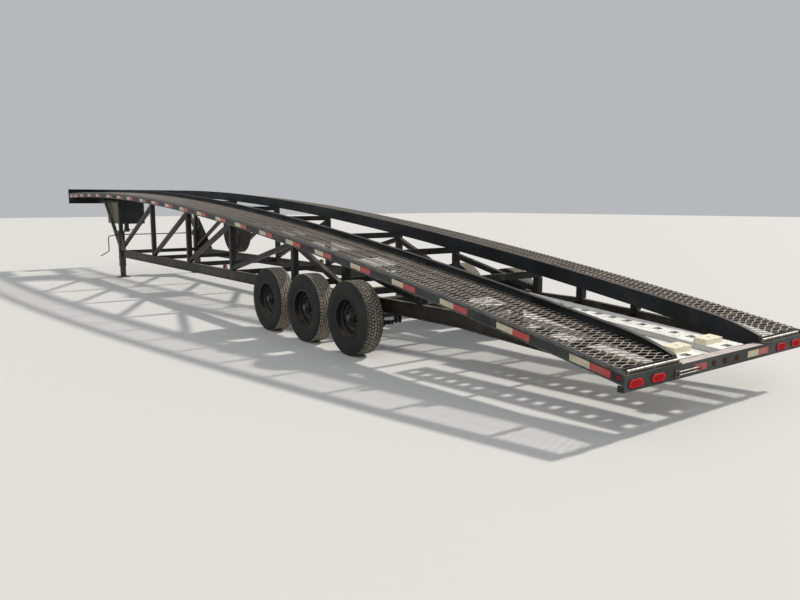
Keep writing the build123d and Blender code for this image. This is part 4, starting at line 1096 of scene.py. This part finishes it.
def add_u_bolts(piece, x, y):
    """The clamp plate under one spring pack, and two U-bolts over the axle tube."""
    half_x, half_y, thick = CLAMP_PLATE
    piece.box(around(x, half_x), around(y, half_y), (PACK_BOTTOM - thick, PACK_BOTTOM))
    for at_y in around(y, U_BOLT_Y):
        arc = []
        for i in range(ARC_STEPS + 1):
            t = math.pi * i / ARC_STEPS
            arc.append((x + U_BOLT_REACH * math.cos(t), at_y, WHEEL_Z + U_BOLT_REACH * math.sin(t) * 0.97))
        for a, b in zip(arc, arc[1:]):
            piece.rod(a, b, U_BOLT_ROD, 8)
        for at in around(x, U_BOLT_REACH):
            piece.rod((at, at_y, WHEEL_Z), (at, at_y, PACK_BOTTOM - U_BOLT_TAIL), U_BOLT_ROD, 8)
            hex_nut(piece, (at, at_y, PACK_BOTTOM - thick), (0, 0, -1), 11.5, 13)


def add_side_nuts(piece, x, reach, radius, height):
    """A nut on each face of the hangers or spring eyes at x, on both sides of the trailer."""
    for y in TRUSS_Y:
        for face in (-1, 1):
            hex_nut(piece, (x, y + face * reach, SPRING_EYE_Z), (0, face, 0), radius, height)


def add_leaf_clip(piece, x, y, low):
    """A clip round the leaves: a strap under them and an ear up each side."""
    along = around(x, CLIP_HALF)
    piece.box(along, around(y, 25), (low - 3, low + 4))
    for face in (-1, 1):
        piece.box(along, (y + face * 22.2, y + face * 25.5), (low, low + 42))


def build_axle_clamps():
    """U-bolts, leaf clips, and the nuts of the hangers and spring eyes."""
    piece = Piece("axle_clamps", ["running_gear"])
    for x in WHEEL_X.values():
        for y in TRUSS_Y:
            add_u_bolts(piece, x, y)
    for x in HANGER_X:
        add_side_nuts(piece, x, HANGER_SIDE, 14, 12)
    for x in WHEEL_X.values():
        for way in (-1, 1):
            add_side_nuts(piece, x + way * SPRING_HALF_SPAN, EYE_SIDE, 12, 7)
            for reach in CLIP_REACH:
                rise = (reach / SPRING_HALF_SPAN) ** 2 * SPRING_SAG
                low = SPRING_EYE_Z - SPRING_SAG + rise - CLIP_DROP
                for y in TRUSS_Y:
                    add_leaf_clip(piece, x + way * reach, y, low)
    piece.build("spring_steel")


def build_brake_fittings():
    """Nuts on the inner faces of the brakes' backing plates."""
    piece = Piece("brake_fittings", ["running_gear"])
    for x in WHEEL_X.values():
        for side in (-1, 1):
            for turn in full_turn(BRAKE_NUTS):
                at = x + BRAKE_NUT_CIRCLE * math.cos(turn + 0.3)
                centre = (at, side * BRAKE_Y, WHEEL_Z + BRAKE_NUT_CIRCLE * math.sin(turn + 0.3))
                hex_nut(piece, centre, (0, -side, 0), 9, 10)
    piece.build("spring_steel")


# Frame fittings

POSTS = [2730, 4155, 5400, 7385, 9215, 11130]
TAIL_POSTS = [1420, 2105]
POST_HALF = 38
RAIL_DEPTH = 108
BEAM_DEPTH = 76
LOWER_TOP = 600
# The lower rails' top rises from the rear face to the bend
TAIL_TOP = 456
TAIL_BEND_X = 2150


def add_post_beads(piece, x, y, z, sides=False):
    """Weld beads along the front and rear foot of a post and, where asked, along its sides."""
    for way in (-1, 1):
        edge = x + way * POST_HALF
        piece.rod((edge, y - 30, z), (edge, y + 30, z), 4.5, 6)
        if sides:
            face = y + way * (POST_HALF - 1)
            piece.rod((x - POST_HALF, face, z), (x + POST_HALF, face, z), 4.0, 6)


def build_welds():
    """Weld beads where the posts meet the chords and the beams under the runways."""
    piece = Piece("weld_beads", ["weld"])
    for x in POSTS:
        top = arch_z(x - POST_HALF, RAIL_DEPTH) - BEAM_DEPTH
        for y in TRUSS_Y:
            add_post_beads(piece, x, y, LOWER_TOP)
            add_post_beads(piece, x, y, top, sides=True)
    for x in TAIL_POSTS:
        foot = TAIL_TOP + (LOWER_TOP - TAIL_TOP) * x / TAIL_BEND_X + 4
        for y in TRUSS_Y:
            add_post_beads(piece, x, y, foot)
    piece.build("frame_steel")


# Round markers on the outer rails, as (x, slot)
RAIL_MARKERS = [(52, 0), (7710, 1)]
MARKER_DROP = 62
CHORD_LAMP_X = 7640


def build_rail_markers():
    """A red marker lamp at the rear of each outer rail and an amber one near its middle."""
    piece = Piece("marker_lamps", ["side_lens", "amber_lens", "black_rubber"])
    for x, slot in RAIL_MARKERS:
        z = arch_z(x, MARKER_DROP)
        for side in (-1, 1):
            face = side * RAIL_FACE
            piece.rod((x, face - side, z), (x, face + side * 0.45, z), 22, 24, 2)
            piece.rod((x, face, z), (x, face + side * 0.75, z), 17, 24, slot)
    piece.build("red_lens", ["side_markers"])


def build_chord_lamps():
    """Box lamps in their brackets on the lower chords."""
    piece = Piece("chord_lamps", ["chord_lens", "bracket"])
    x, base = CHORD_LAMP_X, LOWER_TOP
    for side in (-1, 1):
        piece.box(around(x, 50), (side * 830, side * 884), (base, base + 5), 1)
        for ear in ((x - 50, x - 44), (x + 44, x + 50)):
            piece.box(ear, (side * 850, side * 884), (base + 5, base + 50), 1)
        piece.box(around(x, 42), (side * 854, side * 880), (base + 5, base + 65))
        piece.box(around(x, 38), (side * 880, side * 884.5), (base + 9, base + 61))
        for k in range(-4, 5):
            at, y = x + k * 8, side * 884.5
            piece.rod((at, y, base + 11), (at, y, base + 59), 1.2, 6)
        for at in around(x, 47):
            hex_nut(piece, (at, side * 867, base + 5), (0, 0, 1), 5, 5, 1)
    piece.build("amber_lens", ["chord_markers"])


# Jack fittings

JACK_X = 13370
JACK_HALF = 58
# Collars round a jack's tube, as (bottom, top, how far they stand out)
COLLARS = [(250, 272, 5), (430, 448, 5), (980, 1022, 4)]
JACK_PLATE_Z = (470, 590)
JACK_PLATE_NUTS_Z = (490, 530, 570)
GEARBOX_REACH = 168
GEARBOX_Z = 932
PIN_Z = 150
LEG_HOLES = (120, 200)
FOOT_BOLT = 97


def add_jack(piece, y):
    """One jack's collars, bolted plate, gearbox bolts and cap, pin, leg holes and foot bolts."""
    x = JACK_X
    for low, high, grow in COLLARS:
        half = JACK_HALF + grow
        piece.box(around(x, half), around(y, half), (low, high))
    rear, front = x - JACK_HALF - 4, x + GEARBOX_REACH
    piece.box((rear, rear + 5), around(y, 44), JACK_PLATE_Z)
    for z in JACK_PLATE_NUTS_Z:
        for at_y in around(y, 28):
            hex_nut(piece, (rear, at_y, z), (-1, 0, 0), 9, 8)
    for z in around(GEARBOX_Z, 36):
        for at_y in around(y, 30):
            hex_nut(piece, (front, at_y, z), (1, 0, 0), 7, 6)
    dome(piece, (front, y, GEARBOX_Z), (1, 0, 0), 30, 9, 4, 20)
    out = math.copysign(1, y)
    piece.rod((x, y + out * 44, PIN_Z), (x, y + out * 64, PIN_Z), 8, 10, 1)
    for z in LEG_HOLES:
        for face in (-1, 1):
            piece.rod((x, y + face * 47.5, z), (x, y + face * 48.8, z), 11, 16, 2)
    for at_x in around(x, FOOT_BOLT):
        for at_y in around(y, FOOT_BOLT):
            hex_nut(piece, (at_x, at_y, 14), (0, 0, 1), 9, 8)


def build_jack_fittings():
    piece = Piece("jack_fittings", ["jack_steel", "bright_steel", "black_rubber"])
    for y in TRUSS_Y:
        add_jack(piece, y)
    piece.build("jack_steel")


# Tool box fittings

BOX_X = (13560, 14640)
BOX_Y = (270, 780)
BOX_Z = (1165, 1640)
SEAM = 22
SEAM_PROUD = 1.6
BOX_RIVETS = 12
BOX_RIVET_PITCH = 91
DOOR_FACE = 13546
DOOR_LATCHES_Y = (410, 640)
DOOR_LATCH_Z = 1476
HINGE_PLATES_Y = (360, 690)
HINGE_PLATE_Z = (1200, 1262)


def build_box_seams():
    """Seams and rivets on the tool box. The upright seams stand less proud than the level ones."""
    piece = Piece("tool_box_seams", ["box_sheet", "bright_steel"])
    (x0, x1), (y0, y1), (z0, z1) = BOX_X, BOX_Y, BOX_Z
    for y, face in ((y0, -SEAM_PROUD), (y1, SEAM_PROUD)):
        for z in (z0 + 12, z1 - 12 - SEAM):
            piece.box((x0 + 10, x1 - 10), (y, y + face), (z, z + SEAM))
        for x in (x0 + 8, x0 + 520, x1 - 8 - SEAM):
            piece.box((x, x + SEAM), (y, y + face * 0.6), (z0 + 13, z1 - 13))
        for i in range(BOX_RIVETS):
            at = x0 + 40 + i * BOX_RIVET_PITCH
            for z in (z0 + 23, z1 - 23):
                dome(piece, (at, y + face, z), (0, face, 0), 5, 3, 3, 8, 1)
    for z in (z0 + 14, z1 - 14 - SEAM):
        piece.box((x1, x1 + SEAM_PROUD), (y0 + 10, y1 - 10), (z, z + SEAM))
    for y in (y0 + 10, y1 - 10 - SEAM):
        piece.box((x1, x1 + 1.0), (y, y + SEAM), (z0 + 15, z1 - 15))
    piece.box((x0 + 6, x1 - 6), (y0 + 6, y1 - 6), (z1, z1 + SEAM_PROUD))
    piece.build("box_sheet")


def build_door_fittings():
    """Two latches and two hinge plates, which swing with the tool box's door."""
    # The latches take the dark jack paint, as painted shade in place of bright metal
    piece = Piece("tool_box_latch", ["jack_steel"], "box_door")
    face = DOOR_FACE
    z = DOOR_LATCH_Z
    for y in DOOR_LATCHES_Y:
        piece.box((face - 4, face), around(y, 34), around(z, 24))
        piece.rod((face - 4, y, z), (face - 15, y, z), 9, 12)
        piece.box((face - 19, face - 13), around(y, 30), around(z, 6))
        for at in around(y, 26):
            dome(piece, (face - 4, at, z + 16), (-1, 0, 0), 4, 3, 3, 8)
    low, high = HINGE_PLATE_Z
    for y in HINGE_PLATES_Y:
        piece.box((face - 3, face), around(y, 20), HINGE_PLATE_Z)
        for at in (low + 16, high - 18):
            dome(piece, (face - 3, y, at), (-1, 0, 0), 5, 3, 3, 8)
    piece.build("jack_steel")


# Coupler fittings

COUPLER_X = 15960
COUPLER_PLATE_Z = (1708, 1720)
# Rows of plate bolts behind and ahead of the tube's axis, and to its right and left
PLATE_BOLTS_X = (-128, 85)
PLATE_BOLTS_Y = (-125, 125)
COLLAR_RADII = (63.5, 67.5)
COLLAR_HEIGHT = 14
COLLAR_Z = (1152, 1190)
SET_SCREW_Z = 1171


def build_coupler_fittings():
    """The coupler's plate bolts, two collars round its tube and the set screws between them."""
    piece = Piece("coupler_fittings", ["jack_steel"])
    x = COUPLER_X
    under, top = COUPLER_PLATE_Z
    for ahead in PLATE_BOLTS_X:
        for y in PLATE_BOLTS_Y:
            hex_nut(piece, (x + ahead, y, top), (0, 0, 1), 13, 12)
            hex_nut(piece, (x + ahead, y, under), (0, 0, -1), 13, 12)
    near, far = COLLAR_RADII
    for z in COLLAR_Z:
        rings = []
        for lift, r in ((0, near), (0, far), (COLLAR_HEIGHT, far), (COLLAR_HEIGHT, near)):
            rings.append([(x + r * math.cos(t), r * math.sin(t), z + lift) for t in full_turn(24)])
        piece.rings(rings, cap=False)
    for way in (1, -1):
        piece.rod((x, way * 60, SET_SCREW_Z), (x, way * 84, SET_SCREW_Z), 8, 10)
        hex_nut(piece, (x, way * 66, SET_SCREW_Z), (0, way, 0), 13, 10)
    piece.build("jack_steel")


for name, side in SIDES:
    build_runway(name, side)
for name, side in SIDES:
    build_side_tape(name, side)
build_tyres()
for word, x in WHEEL_X.items():
    for name, side in SIDES:
        build_wheel_fittings(word, x, name, side)
build_rear_lamps()
build_rear_tape()
build_latch()
build_ramps()
build_axle_clamps()
build_brake_fittings()
build_welds()
build_rail_markers()
build_chord_lamps()
build_jack_fittings()
build_box_seams()
build_door_fittings()
build_coupler_fittings()
